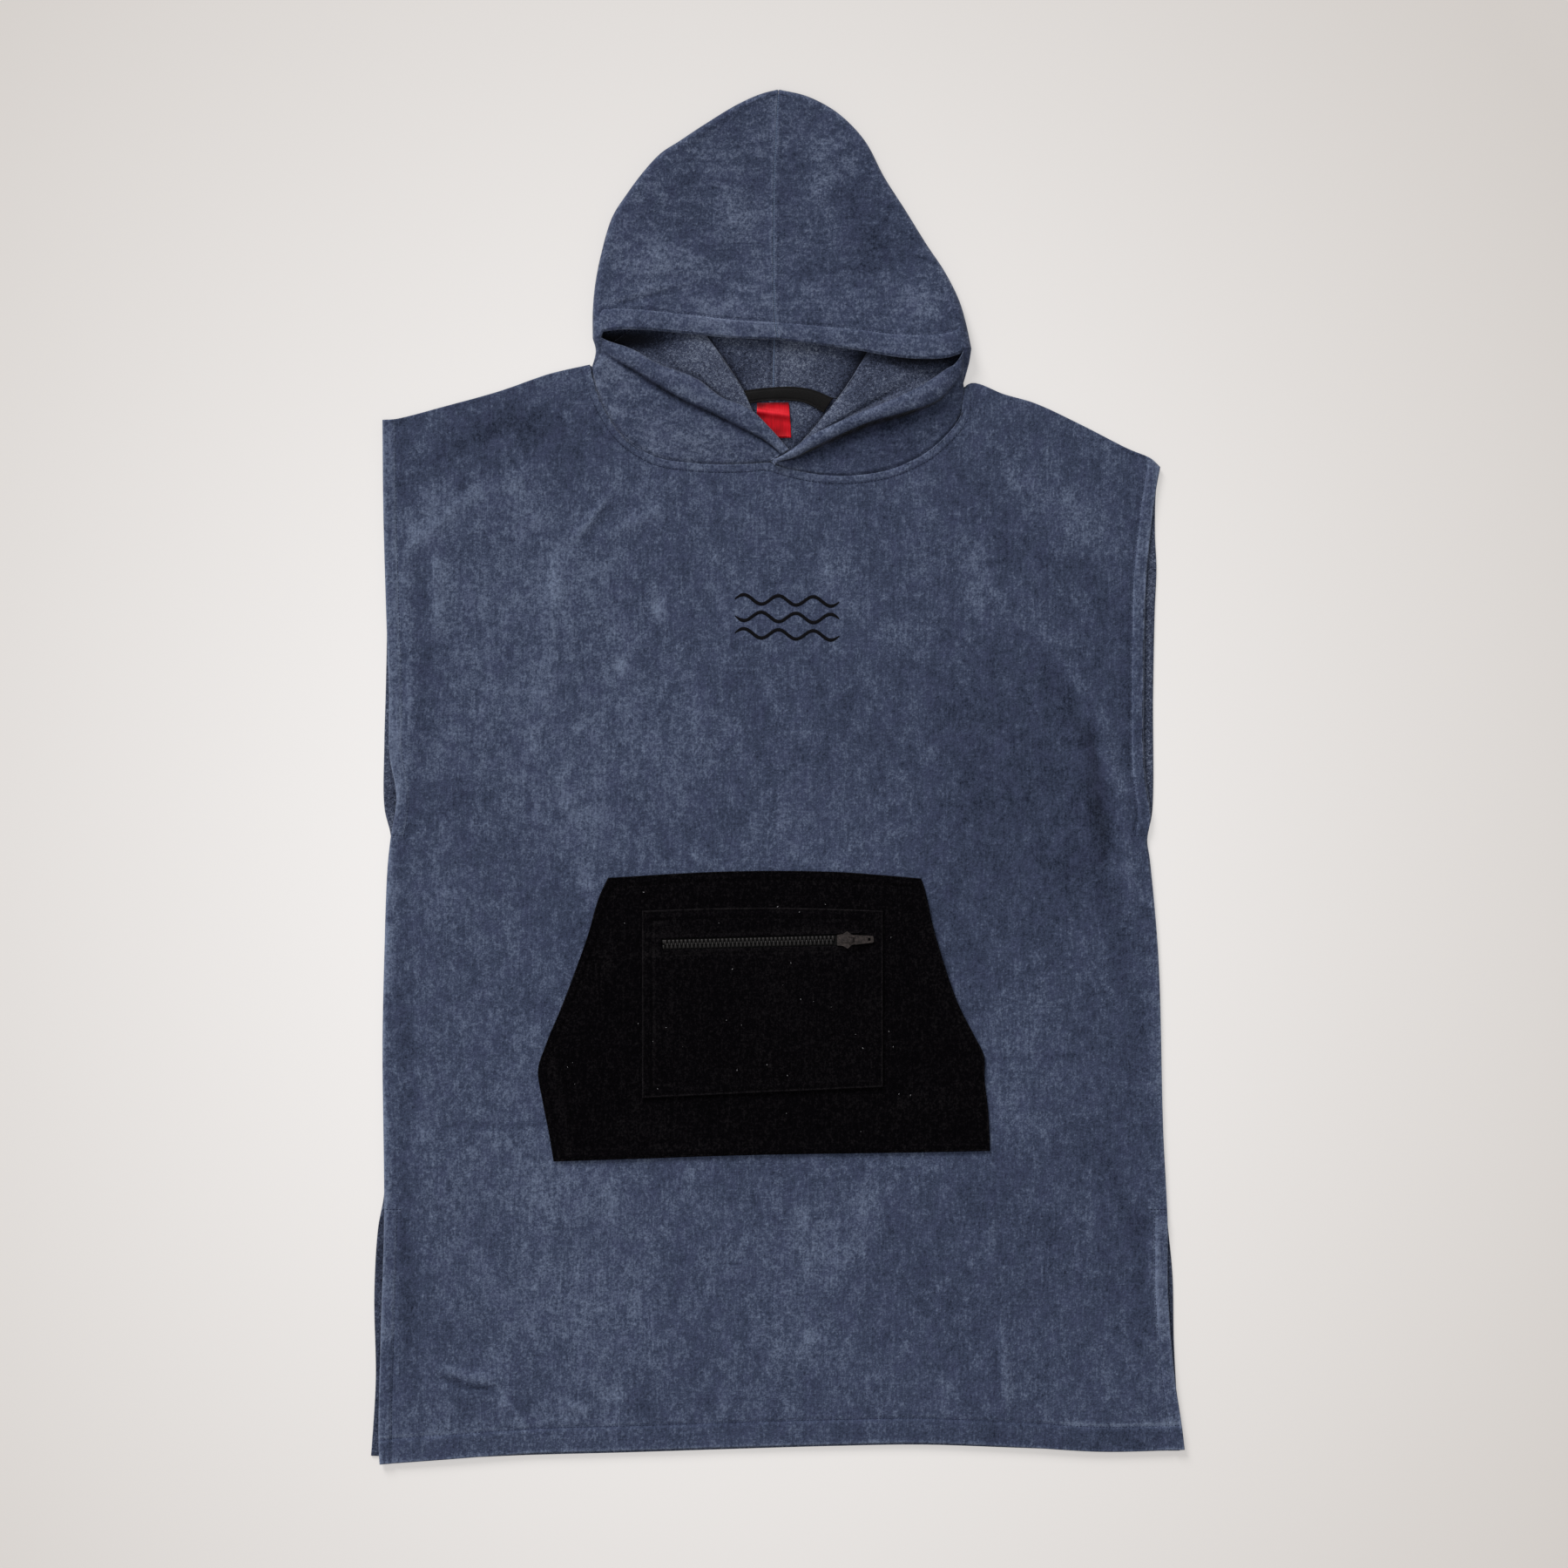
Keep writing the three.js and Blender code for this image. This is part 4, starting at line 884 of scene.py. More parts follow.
def front_relief(x, y):
    """What the hems and the neck seam add to the front's outer face."""
    hem, left, right = edge_distances(x, y, FRONT_LINES)
    neck, share = distance_to(FRONT_NECK, x, y)
    relief = hem_relief(hem, HEM_DEPTH, x)
    open_side = smooth((y - ARMHOLE_BOTTOM) / 6) + smooth((VENT_TOP - y) / 6)
    for side in (left, right):
        relief += hem_relief(side, SIDE_HEM_DEPTH, y) * open_side
        seam = 1 - np.clip(open_side, 0, 1)
        puckers = 0.22 * lattice_noise(side, y, 11, 44) * np.exp(-side / 14)
        relief += seam * (-0.5 * np.exp(-((side / 3.0) ** 2)) + puckers)
    relief += hem_relief(neck, NECK_STITCH_DEPTH, share * 520.0, 0.45, 0.35, 0.3)
    return relief


def front_nap_and_painted_light(x, y):
    """Painted shade (above 0) and painted light (below 0) on the front: painted shade in the hem's and neck's
    stitch lines, beside the turned strips and in the creases' troughs, painted light along the edges, on the
    creases' crests and in the patches; the turned strips lighter.
    """
    hem, left, right = edge_distances(x, y, FRONT_LINES)
    neck, share = distance_to(FRONT_NECK, x, y)
    nap = np.zeros_like(x)
    open_side = np.clip(smooth((y - ARMHOLE_BOTTOM) / 6) + smooth((VENT_TOP - y) / 6), 0, 1)
    facing = smooth((y + 530) / 4) * (y < VENT_TOP) + (y > ARMHOLE_BOTTOM)
    for side in (left, right):
        strip = smooth((SIDE_HEM_DEPTH - side) / 2.0)
        past = side - SIDE_HEM_DEPTH
        nap += open_side * facing * (0.2 * smooth(past / 2) * np.exp(-past / 16) - 0.16 * strip)
        nap -= open_side * facing * 0.3 * np.exp(-(((past + 0.8) / 1.2) ** 2))
        nap -= 0.35 * np.exp(-((side / 2.4) ** 2)) + 0.14 * np.exp(-((side / 8.0) ** 2)) * (1 - open_side)
        nap -= 0.35 * np.exp(-(((y + 528) / 1.4) ** 2)) * strip
    uneven = 0.75 + 0.5 * lattice_noise(x, y * 0, 26, 35)
    right_end = smooth((x - 232) / 60)
    ends = np.maximum(0.4 * smooth((-245 - x) / 30), right_end)
    nap += 0.44 * uneven * (1 - ends) * np.exp(-(((hem - HEM_DEPTH) / 1.2) ** 2))
    nap -= (0.16 * uneven + 0.55 * ends) * np.exp(-(((hem - HEM_DEPTH - 2.2) / 1.6) ** 2))
    nap += (0.09 + 0.17 * right_end) * smooth((HEM_DEPTH - hem) / 2) - 0.45 * np.exp(-((hem / 2.6) ** 2))
    stitched = np.exp(-(((neck - NECK_STITCH_DEPTH) / 1.3) ** 2))
    nap += 0.12 * stitched - 0.14 * smooth((NECK_STITCH_DEPTH - neck) / 2)
    # Painted light on the creases' crests and painted shade in their troughs, then the patches of painted
    # light and shade.
    nap -= 0.3 * creases(x, y, FRONT_CREASES)
    for px, py, width, length, amount in PAINTED_LIGHT_PATCHES:
        nap -= amount * np.exp(-(((x - px) / width) ** 2) - ((y - py) / length) ** 2)
    return nap


def front_height(x, y):
    return FRONT_TOP + front_lift(x, y) + front_relief(x, y)


def panel_grid(lines, neck, u, t, inset=0.0):
    """Plan points of a body panel, closer together near its edges."""
    left = Curve([(x, y - inset) for x, y in SHOULDER_LEFT])
    right = Curve([(x, y - inset) for x, y in SHOULDER_RIGHT])
    steps = np.linalg.norm(np.diff(neck, axis=0), axis=1)
    neck_share = np.concatenate([[0], np.cumsum(steps)]) / steps.sum()

    def top(u):
        u = np.asarray(u, float)
        shape = u.shape
        u = u.ravel()
        middle = (u - NECK_LEFT_SHARE) / (NECK_RIGHT_SHARE - NECK_LEFT_SHARE)
        inside = np.stack([np.interp(middle, neck_share, neck[:, k]) for k in (0, 1)], axis=-1)
        on_left = left(u / NECK_LEFT_SHARE)
        on_right = right((u - NECK_RIGHT_SHARE) / (1 - NECK_RIGHT_SHARE))
        points = np.where((u < NECK_LEFT_SHARE)[:, None], on_left, inside)
        return np.where((u > NECK_RIGHT_SHARE)[:, None], on_right, points).reshape(*shape, 2)

    patch = {"bottom": lines["hem"], "top": top, "left": lines["left"], "right": lines["right"]}
    uu, tt = np.meshgrid(u, t)
    return patch_points(patch, uu, tt)


def rim_only(rows, columns, width):
    """True for the quads within that many of the border."""
    j, i = np.meshgrid(np.arange(rows - 1), np.arange(columns - 1), indexing="ij")
    near = np.minimum(np.minimum(j, rows - 2 - j), np.minimum(i, columns - 2 - i))
    return near < width


def with_height(plan, z):
    return np.concatenate([plan, z[..., None]], axis=-1)


def build_front():
    u = graded(MEAN_WIDTH, 3.5, 1.3, [(0, 15), (MEAN_WIDTH - 15, MEAN_WIDTH)])
    t = graded(MEAN_LENGTH, 3.5, 1.3, [(0, 27), (MEAN_LENGTH - 11, MEAN_LENGTH)])
    plan = panel_grid(FRONT_LINES, FRONT_NECK, u, t)
    x, y = plan[..., 0], plan[..., 1]
    cloth = Cloth("front_cloth", CLOTH)
    under = rim_only(len(t), len(u), 4)
    height = with_height(plan, FRONT_MID + front_lift(x, y))
    cloth.grid(height, relief=front_relief(x, y), nap=front_nap_and_painted_light(x, y), under=under)
    piece = cloth.build(BLUE, BLUE_INSIDE)
    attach(piece, "garment")
    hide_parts("front")
    return piece


BACK_LINES = {"hem": Curve(BACK_HEM), "left": Curve(BACK_SIDE_LEFT), "right": Curve(BACK_SIDE_RIGHT)}


def build_back():
    u = graded(MEAN_WIDTH, 6.0, 1.6, [(0, 12), (MEAN_WIDTH - 12, MEAN_WIDTH)])
    t = graded(MEAN_LENGTH, 6.0, 1.6, [(0, 8), (MEAN_LENGTH - 50, MEAN_LENGTH)])
    plan = panel_grid(BACK_LINES, BACK_NECK + np.array([0, -BACK_SEAM_GAP]), u, t, 0.8)
    x, y = plan[..., 0], plan[..., 1]
    hem, left, right = edge_distances(x, y, BACK_LINES)
    open_side = smooth((y - ARMHOLE_BOTTOM) / 6) + smooth((VENT_TOP - y) / 6)
    relief = hem_relief(hem, HEM_DEPTH, x, 0.0)
    for side in (left, right):
        relief += hem_relief(side, SIDE_HEM_DEPTH, y, 0.0) * open_side
    relief = np.minimum(relief, 0.15)
    in_neck = y > 290
    nx, ny = x[in_neck], y[in_neck]
    relief[in_neck] += inside_height(nx, ny) * smooth((ny - 296) / 12)
    nap = np.zeros_like(x)
    nap[in_neck] = inside_painted_shade(nx, ny)
    # Painted shade on the back's strips beside the vents, below the front's edge.
    for side in (left, right):
        nap += 0.3 * open_side * smooth((SIDE_HEM_DEPTH - side) / 2.0) * (y < VENT_TOP + 10)
    cloth = Cloth("back_cloth", CLOTH)
    cloth.grid(with_height(plan, np.full_like(x, BACK_MID)), relief=relief, nap=nap)
    piece = cloth.build(BLUE_INSIDE, BLUE)
    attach(piece, "garment")
    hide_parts("back")
    return piece


# The hood


def fold_stations(curve, shares, radii, turn):
    step = 0.02
    way = curve(shares + step) - curve(shares - step)
    way /= np.linalg.norm(way, axis=-1, keepdims=True) * turn
    return {"point": curve(shares), "out": np.stack([-way[..., 1], way[..., 0]], axis=-1), "radius": radii}


def fold_points(stations, angle):
    """Points of the fold at an angle: a quarter turn on the upper layer, minus that on the lower one."""
    radius = stations["radius"]
    reach = (radius + CLOTH / 2 - np.cos(angle) * radius)[..., None]
    plan = stations["point"] - stations["out"] * reach
    z = BACK_MID + radius * (1 + np.sin(angle))
    return with_height(plan, z)


# Creases of the crown. Columns: x and y of the two ends, width, height.
CROWN_CREASES = [
    (-168, 441, -92, 457, 4, -1.0),
    (-168, 446, -92, 462, 5, 0.9),
    (-140, 470, -60, 500, 18, 1.2),
    (-110, 540, -50, 470, 22, -1.0),
    (-60, 590, -30, 500, 16, 1.0),
    (40, 600, 60, 500, 18, 1.1),
    (60, 560, 120, 470, 20, -1.0),
    (100, 480, 160, 430, 14, 1.2),
    (20, 450, 90, 440, 14, 0.7),
    (-90, 430, -20, 436, 14, 0.6),
]


def build_hood(half):
    side = half["side"]
    name = half["name"]
    silhouette, corner, seam = Curve(half["silhouette"]), Curve(half["corner"]), Curve(CENTRE_SEAM)
    forehead, rim, band = Curve(half["forehead"]), Curve(half["rim"]), Curve(half["rimBand"])
    crown_t = graded(silhouette.length, 3.4, 1.2, [(14, 30), (0, 3)])
    cheek_b = np.linspace(0, 1, 56)
    crown_radius = mix(SIDE_FOLD_RADIUS, PEAK_FOLD_RADIUS, np.sqrt(crown_t))
    crown = fold_stations(silhouette, crown_t, crown_radius, -side)
    turn = smooth((crown_t - PEAK_TURN_START) / (1 - PEAK_TURN_START))[:, None]
    out = mix(crown["out"], np.array([0.0, 1.0]), turn)
    crown["out"] = out / np.linalg.norm(out, axis=-1, keepdims=True)
    cheek = fold_stations(corner, cheek_b, mix(SIDE_FOLD_RADIUS, NECK_FOLD_RADIUS, smooth(cheek_b)), side)
    blend = smooth(cheek_b / 0.35)[:, None]
    out = mix(crown["out"][0], cheek["out"], blend)
    cheek["out"] = out / np.linalg.norm(out, axis=-1, keepdims=True)
    cheek["point"][0] = crown["point"][0]

    highest = fold_points({k: v[-1:] for k, v in crown.items()}, math.pi / 2)[0]
    peak = np.array([APEX[0] + side * SEAM_GAP, highest[1], highest[2]])
    cloth = Cloth(name + "_cloth", CLOTH)

    # Upper layer of the crown
    s = graded(175.0, 2.6, 0.8, [(0, 7)])[None, :]
    t = crown_t[:, None]
    outer = fold_points(crown, math.pi / 2)
    seam_line = seam(crown_t) + np.array([side * SEAM_GAP, 0])
    inner = mix(seam_line, peak[:2], smooth((crown_t - 0.8) / 0.2)[:, None])
    flat = mix(inner[:, None], outer[:, None, :2], s[..., None])
    start = mix(inner[:1, None], outer[:1, None, :2], s[..., None])
    edge = forehead(1 - s)
    edge[:, 0] = seam_line[0]
    pull = ((1 - t) ** 3 * (s < 1))[..., None]
    plan = flat + (edge - start) * pull
    plan[-1] = peak[:2]
    sag = mix(FOREHEAD_CENTRE_MID, CROWN_SAG_MID, smooth(t * 3))
    centre = mix(sag, peak[2], t**4)
    z = mix(centre, outer[:, None, 2], s**1.6)
    x, y = plan[..., 0], plan[..., 1]
    from_edge = t * silhouette.length * 0.93
    inside = smooth(s / 0.06) * smooth((1 - s) / 0.12) * smooth(t / 0.05) * smooth((1 - t) / 0.08)
    lift = (creases(x, y, CROWN_CREASES) + ripples(x, y, 21 + side, 1.3)) * inside
    lift = np.maximum(lift, -(z - BACK_MID - CLOTH - 0.4))
    gape = MOUTH_GAPE * np.exp(-(((x - side * 138) / 34) ** 2)) * np.exp(-((from_edge / 26) ** 2))
    lift += gape * smooth((1 - s) / 0.1)
    relief = hem_relief(from_edge, HOOD_HEM_DEPTH, x, 0.8, 0.4, 0.9)
    relief += 0.9 * np.sin(np.clip(from_edge / HOOD_HEM_DEPTH, 0, 1) * math.pi) ** 0.7
    seam_way = np.abs(x - seam_line[:, None, 0])
    relief += 0.45 * np.exp(-(((seam_way - 2.0) / 2.2) ** 2))
    relief += 0.16 * lattice_noise(y, seam_way * 0, 8, 61) * np.exp(-seam_way / 7)
    # Painted shade and light on the crown: a painted shade line above the hem's stitches and a painted
    # highlight below them, stronger on the left; the hem band painted lighter; the creases' crests painted
    # lighter and troughs darker; a painted highlight along the centre seam; the right half painted a little
    # darker.
    hem_line = 0.5 if side > 0 else 1.0
    nap = 0.18 * hem_line * np.exp(-(((from_edge - HOOD_HEM_DEPTH - 0.8) / 1.3) ** 2))
    nap -= 0.16 * hem_line * np.exp(-(((from_edge - HOOD_HEM_DEPTH + 1.6) / 1.2) ** 2))
    nap -= (0.06 if side > 0 else 0.14) * smooth((HOOD_HEM_DEPTH - from_edge) / 2)
    nap = nap - 0.2 * creases(x, y, CROWN_CREASES) * inside - 0.3 * np.exp(-((seam_way / 2.2) ** 2))
    nap += (0.1 if side > 0 else -0.02) * smooth(t / 0.3)
    cloth.grid(with_height(plan, z + lift), relief=relief, nap=nap, flip=side < 0)
    crown_index = np.arange(plan.shape[0] * plan.shape[1]).reshape(plan.shape[:2])

    # The fold round the silhouette
    stations = {k: np.concatenate([crown[k][::-1], cheek[k][1:]]) for k in crown}
    angles = np.linspace(math.pi / 2, -math.pi / 2, 18)
    fold = np.stack([fold_points(stations, a) for a in angles], axis=1)
    fold[0, :, 0] = peak[0]
    count = len(crown_t)
    rows = np.arange(len(fold))[:, None]
    near_hem = smooth((rows - (count - 1 - 10)) / 3.0) * (rows < count)
    fade = np.clip(1 - np.arange(18)[None, :] / 7.0, 0, 1)
    fold_relief = 1.1 * near_hem * fade * (rows < count)
    fold_relief[:count, 0] = relief[::-1, -1][:count]
    cloth.grid(fold, relief=fold_relief, flip=side > 0)

    # The lower layer, flat on the floor, with the folded inside of the hood standing a little above it
    neck = np.array([CENTRE_BACK_NECK[0] + side * SEAM_GAP, CENTRE_BACK_NECK[1] + BACK_SEAM_GAP])
    lower_columns = 84
    neck_line = shifted(Curve(half["neckBack"])(np.linspace(0, 1, lower_columns)), -side * BACK_SEAM_GAP)
    neck_line[-1] = neck
    base = fold[:, -1, :2].copy()
    base[0] = peak[:2]
    below_count = len(cheek_b) - 1
    below = np.clip((np.arange(len(fold)) - count + 1) / below_count, 0, 1)
    share = np.clip((peak[1] - base[:, 1]) / (peak[1] - neck[1]), 0, 1)
    row_share = mix(share, 1.0, below)[:, None]
    centre_line = mix(peak[:2], neck, row_share)
    s = np.linspace(0, 1, lower_columns)[None, :, None]
    flat = mix(base[:, None], centre_line[:, None], s)
    start = mix(base[-1], neck, s[0])[None]
    pull = (below**2)[:, None, None] * (s > 0)
    plan = flat + (neck_line[None] - start) * pull
    x, y = plan[..., 0], plan[..., 1]
    raised = inside_height(x, y)
    laid_flat = with_height(plan, np.full(x.shape, BACK_MID))
    cloth.grid(laid_flat, inner=raised, nap=inside_painted_shade(x, y), flip=side > 0)
    add_inside_fold(cloth, side, rim, band)

    # The cheek and its rolled rim
    cheek_steps = 150
    a = np.linspace(0, 1, cheek_steps)[:, None]
    b = cheek_b[None, :]
    neck_front = shifted(Curve(half["neckFront"])(a[:, 0]), -side * NECK_GAP)
    neck_front[-1, 0] += side * SEAM_GAP
    band_share = 0.5
    rim_points, band_points = rim(a[:, 0])[:, None], band(a[:, 0])[:, None]
    seam_points = neck_front[:, None]
    on_band = mix(rim_points, band_points, np.clip(b / band_share, 0, 1)[..., None])
    on_cheek = mix(band_points, seam_points, np.clip((b - band_share) / (1 - band_share), 0, 1)[..., None])
    plan = np.where((b <= band_share)[..., None], on_band, on_cheek)
    start_plan = fold[count - 1 :, 0, :2]
    plan = mix(start_plan[None], plan, smooth(a / 0.05)[..., None])
    width = np.linalg.norm(rim_points - seam_points, axis=-1)
    rise = np.clip(np.linalg.norm(plan - seam_points, axis=-1) / np.maximum(width, 1e-6), 0, 1)
    rim_start = mix(BACK_MID + 2 * SIDE_FOLD_RADIUS, RIM_MID, smooth(a * 3))
    rim_height = mix(rim_start, RIM_TIP_MID, a**3)
    z = mix(NECK_SEAM_MID, rim_height, np.sin(rise * math.pi / 2))
    beyond = np.clip(b - band_share, 0, 1)
    drop = CHEEK_DROP[side] * smooth(beyond / 0.09) * np.exp(-beyond / 0.26)
    z = z - drop * smooth(a * 4) * smooth((1 - a) / 0.2)
    z = np.maximum(z, NECK_SEAM_MID)
    z = mix(fold[count - 1 :, 0, 2][None], z, smooth(a / 0.05))
    x, y = plan[..., 0], plan[..., 1]
    grown = smooth(a * 6)
    roll = np.clip(b / band_share, 0, 1)
    dome = np.sqrt(np.clip(1 - ((roll - 0.46) / 0.56) ** 2, 0, 1))
    relief = np.where(b <= band_share, (RIM_RELIEF + 0.9) * dome * grown, 0.0)
    crevice = -1.2 * np.exp(-(((b - band_share - 0.03) / 0.035) ** 2)) * grown * smooth((1 - a) / 0.1)
    seam_gap = np.linalg.norm(plan - seam_points, axis=-1)
    relief += crevice - 0.7 * np.exp(-((seam_gap / 1.6) ** 2)) + 0.3 * np.exp(-(((seam_gap - 4) / 3.0) ** 2))
    relief += ripples(x, y, 41 + side, 0.5) * smooth(a / 0.1) * smooth((1 - a) / 0.1) * smooth(seam_gap / 8)
    relief *= smooth(a / 0.04) + 0 * b
    below_roll = np.clip((b - band_share) / (1 - band_share), 0, 1)
    on_roll = smooth(b / 0.08) * smooth((band_share - b) / 0.1)
    # Painted shade: a shade line in the crevice under the roll and a shadow on the cheek below it; the cheek
    # painted lighter or darker, and a painted highlight on the roll.
    crevice_line = np.exp(-(((b - band_share - 0.012) / 0.024) ** 2))
    nap = CREVICE_PAINTED_SHADE[side] * crevice_line * grown * smooth((1 - a) / 0.04)
    shaded = CHEEK_SHADE[side] * np.exp(-((below_roll / 0.36) ** 2)) * (b > band_share)
    nap += shaded * smooth((a - 0.12) / 0.3)
    nap += CHEEK_PAINTED_LIGHT_AND_SHADE[side] * smooth(below_roll / 0.2) - 0.22 * on_roll * grown
    cloth.grid(with_height(plan, z), relief=relief, nap=nap, flip=side > 0)
    piece = cloth.build(BLUE_HOOD, BLUE_INSIDE)
    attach(piece, "garment")
    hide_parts(name)
    top = cloth.top[: crown_index.size].reshape(*crown_index.shape, 3)
    return top


# The inside of the hood as seen in its mouth: each side is folded in from its rim to a crease.
INSIDE_CREASES = {
    -1: Curve([
        (-96, 452), (-78, 430), (-62.9, 410.0), (-46, 386),
        (-33.4, 366.0), (-26, 350), (-19.5, 332), (-12, 316),
    ]),
    1: Curve([
        (106, 436), (92, 412), (81.0, 394.0), (68, 373),
        (55.5, 355.0), (44, 341), (32, 326), (20, 312),
    ]),
}
FOLD_EDGE_MID = 4.9
FOLD_SWELL = {-1: 4.2, 1: 4.6}
FOLD_RIM_RISE = 4.0
INSIDE_SEAM_X = -3.5


def mouth_shade(x, y, side):
    """The painted shade at the corners of the mouth, from 0 to 1, where they lie deep in the fold of the
    hood.
    """
    corner = np.exp(-np.abs((x - side * MOUTH_CORNER[side][0]) / MOUTH_CORNER[side][2]) ** 2.4)
    return corner * np.exp(-np.abs((y - MOUTH_CORNER[side][1]) / MOUTH_CORNER[side][3]) ** 2.4)


# Where the corners of the mouth are painted dark: x from the middle, y, half width, half height.
MOUTH_CORNER = {-1: (152, 412, 50, 10), 1: (138, 399, 54, 13)}


def add_inside_fold(cloth, side, rim, band):
    rows, columns = 80, 46
    q = np.linspace(0, 1, rows)[:, None]
    c = np.linspace(0, 1, columns)[None, :]
    crease = INSIDE_CREASES[side](q[:, 0])[:, None]
    along = mix(0.03, 0.9, q[:, 0])
    tucked = mix(rim(along), band(along), 0.4)[:, None]
    plan = mix(crease, tucked, c[..., None])
    x, y = plan[..., 0], plan[..., 1]
    grown = smooth((q - 0.05) / 0.4) * mix(1.0, 0.45, smooth((q - 0.6) / 0.4))
    swell = FOLD_SWELL[side] * np.sin(np.clip(c / 0.9, 0, 1) * math.pi * 0.62) ** 0.8
    valley = -2.6 * np.exp(-(((c - 0.76) / 0.1) ** 2))
    rise = FOLD_RIM_RISE * smooth((c - 0.72) / 0.28)
    z = FOLD_EDGE_MID - 0.9 * (1 - smooth(q / 0.2)) + grown * (swell + valley + rise)
    rippled = ripples(x, y, 81 + side, 0.45) * smooth(c / 0.1) * smooth((1 - c) / 0.1)
    z += rippled * smooth(q / 0.1) * smooth((1 - q) / 0.1)
    # Painted shade in the valley before the rim, painted light along the fold's edge, and painted shade at
    # the corners of the mouth.
    painted_valley_shade = 0.3 * np.exp(-(((c - 0.78) / 0.09) ** 2)) * grown
    nap = mouth_shade(x, y, side) - 0.16 * np.exp(-((c / 0.2) ** 2)) + painted_valley_shade
    cloth.grid(with_height(plan, z), nap=nap, flip=side < 0)


def inside_height(x, y):
    """How far the inside face of the lower layer stands above plain cloth."""
    shown = smooth((462 - y) / 30) * smooth((165 - np.abs(x)) / 30)
    to_tape = smooth((np.hypot(np.maximum(np.abs(x) - 44, 0), np.maximum(np.abs(y - 357) - 11, 0))) / 6)
    beside_seam = np.abs(x - INSIDE_SEAM_X)
    seam = 0.9 * np.exp(-(((beside_seam - 3.2) / 1.8) ** 2)) - 0.3 * np.exp(-((beside_seam / 1.2) ** 2))
    swell = ripples(x, y, 81, 0.6) + 0.4 + 1.2 * np.exp(-(((x + 35) / 22) ** 2) - ((y - 398) / 16) ** 2)
    return shown * to_tape * (np.maximum(swell, 0) + seam)


def inside_painted_shade(x, y):
    """Painted shade on the inside beside the side folds, at the corners of the mouth and on both sides of the
    centre seam, with a faint painted highlight on the seam.
    """
    nap = mouth_shade(x, y, -1) * (x < 0) + mouth_shade(x, y, 1) * (x >= 0)
    for line in INSIDE_CREASES.values():
        gap, _ = distance_to(line.line[::6], x, y)
        nap = nap + 0.7 * np.exp(-gap / 6.0)
    nap = nap - 0.08 * np.exp(-(((x - INSIDE_SEAM_X) / 1.4) ** 2)) * (y > 366)
    return nap + 0.25 * np.exp(-(((np.abs(x - INSIDE_SEAM_X) - 4) / 1.6) ** 2)) * (y > 366)


# The pockets

POCKET = {
    "bottom": Curve(POCKET_BOTTOM_EDGE),
    "top": Curve(POCKET_TOP_EDGE),
    "left": Curve(POCKET_LEFT_EDGE),
    "right": Curve(POCKET_RIGHT_EDGE),
}
POCKET_STITCHES = (2.4, 8.2)

# Creases of the pocket. Columns: x and y of the two ends, width, height.
POCKET_CREASES = [
    (-212, -262, -196, -352, 5, 0.9),
    (-206, -258, -190, -350, 4, -0.6),
    (-190, -240, -150, -150, 12, 0.5),
    (150, -150, 186, -250, 12, 0.5),
    (110, -320, 180, -300, 14, 0.5),
    (-160, -330, -60, -338, 14, 0.5),
    (100, -262, 190, -258, 6, -0.4),
]


def pocket_lift(x, y):
    lift = front_lift(x, y) + 0.2 + creases(x, y, POCKET_CREASES) + ripples(x, y, 91, 0.3)
    return np.maximum(lift, 0.05)


def pocket_relief(x, y):
    edges = {k: distance_to(c.line[::6], x, y) for k, c in POCKET.items()}
    nearest = np.minimum.reduce([gap for gap, _ in edges.values()])
    share = edges["top"][1] * 300 + edges["left"][1] * 280 + edges["right"][1] * 280
    relief = 0.7 * smooth((10.5 - nearest) / 3.0)
    for depth in POCKET_STITCHES:
        relief = relief - 0.6 * np.exp(-(((nearest - depth) / 1.1) ** 2))
    return relief + 0.25 * lattice_noise(share, share * 0, 9, 95) * np.exp(-(((nearest - 6) / 8) ** 2))


def pocket_painted_light(x, y):
    # Painted light along the pocket's edges and its hem's turn, and painted light and shade on its creases.
    nearest = np.minimum.reduce([distance_to(c.line[::6], x, y)[0] for c in POCKET.values()])
    nap = -0.2 * np.exp(-((nearest / 1.8) ** 2)) - 0.1 * np.exp(-(((nearest - 10.5) / 2.0) ** 2))
    return nap - 0.2 * creases(x, y, POCKET_CREASES)


def pocket_height(x, y):
    return POCKET_TOP + pocket_lift(x, y) + pocket_relief(x, y)


def build_pocket():
    u = graded(410.0, 3.4, 1.0, [(0, 11), (399, 410)])
    t = graded(266.0, 3.4, 1.0, [(0, 11), (255, 266)])
    uu, tt = np.meshgrid(u, t)
    plan = patch_points(POCKET, uu, tt)
    x, y = plan[..., 0], plan[..., 1]
    opening = np.sin(np.clip((tt - HAND_OPENING_START) / HAND_OPENING_SHARE, 0, 1) * math.pi)
    from_side = np.minimum(uu, 1 - uu) * 410
    gape = opening * HAND_GAPE * 1.3 * np.exp(-((from_side / 14) ** 2))
    cloth = Cloth("pocket_cloth", POCKET_CLOTH)
    height = with_height(plan, POCKET_MID + pocket_lift(x, y) + gape)
    cloth.grid(height, relief=pocket_relief(x, y), nap=pocket_painted_light(x, y))
    piece = cloth.build(BLACK, BLACK_INSIDE)
    dress(piece, ["pocket"])


def zip_line(x):
    return ZIP_START[1] + (x - ZIP_START[0]) * math.tan(ZIP_SLOPE)


def patch_edges(x):
    across = (x - PATCH["left"]) / (PATCH["right"] - PATCH["left"])
    low = mix(PATCH["bottomLeft"], PATCH["bottomRight"], across)
    return low, PATCH["top"] + PATCH["arch"] * np.sin(math.pi * across)


def patch_border(x, y):
    """How far inside the zip pocket's patch a point lies."""
    low, high = patch_edges(x)
    return np.minimum.reduce([x - PATCH["left"], PATCH["right"] - x, y - low, high - y])


PATCH_STITCHES = (2.2, 8.8)


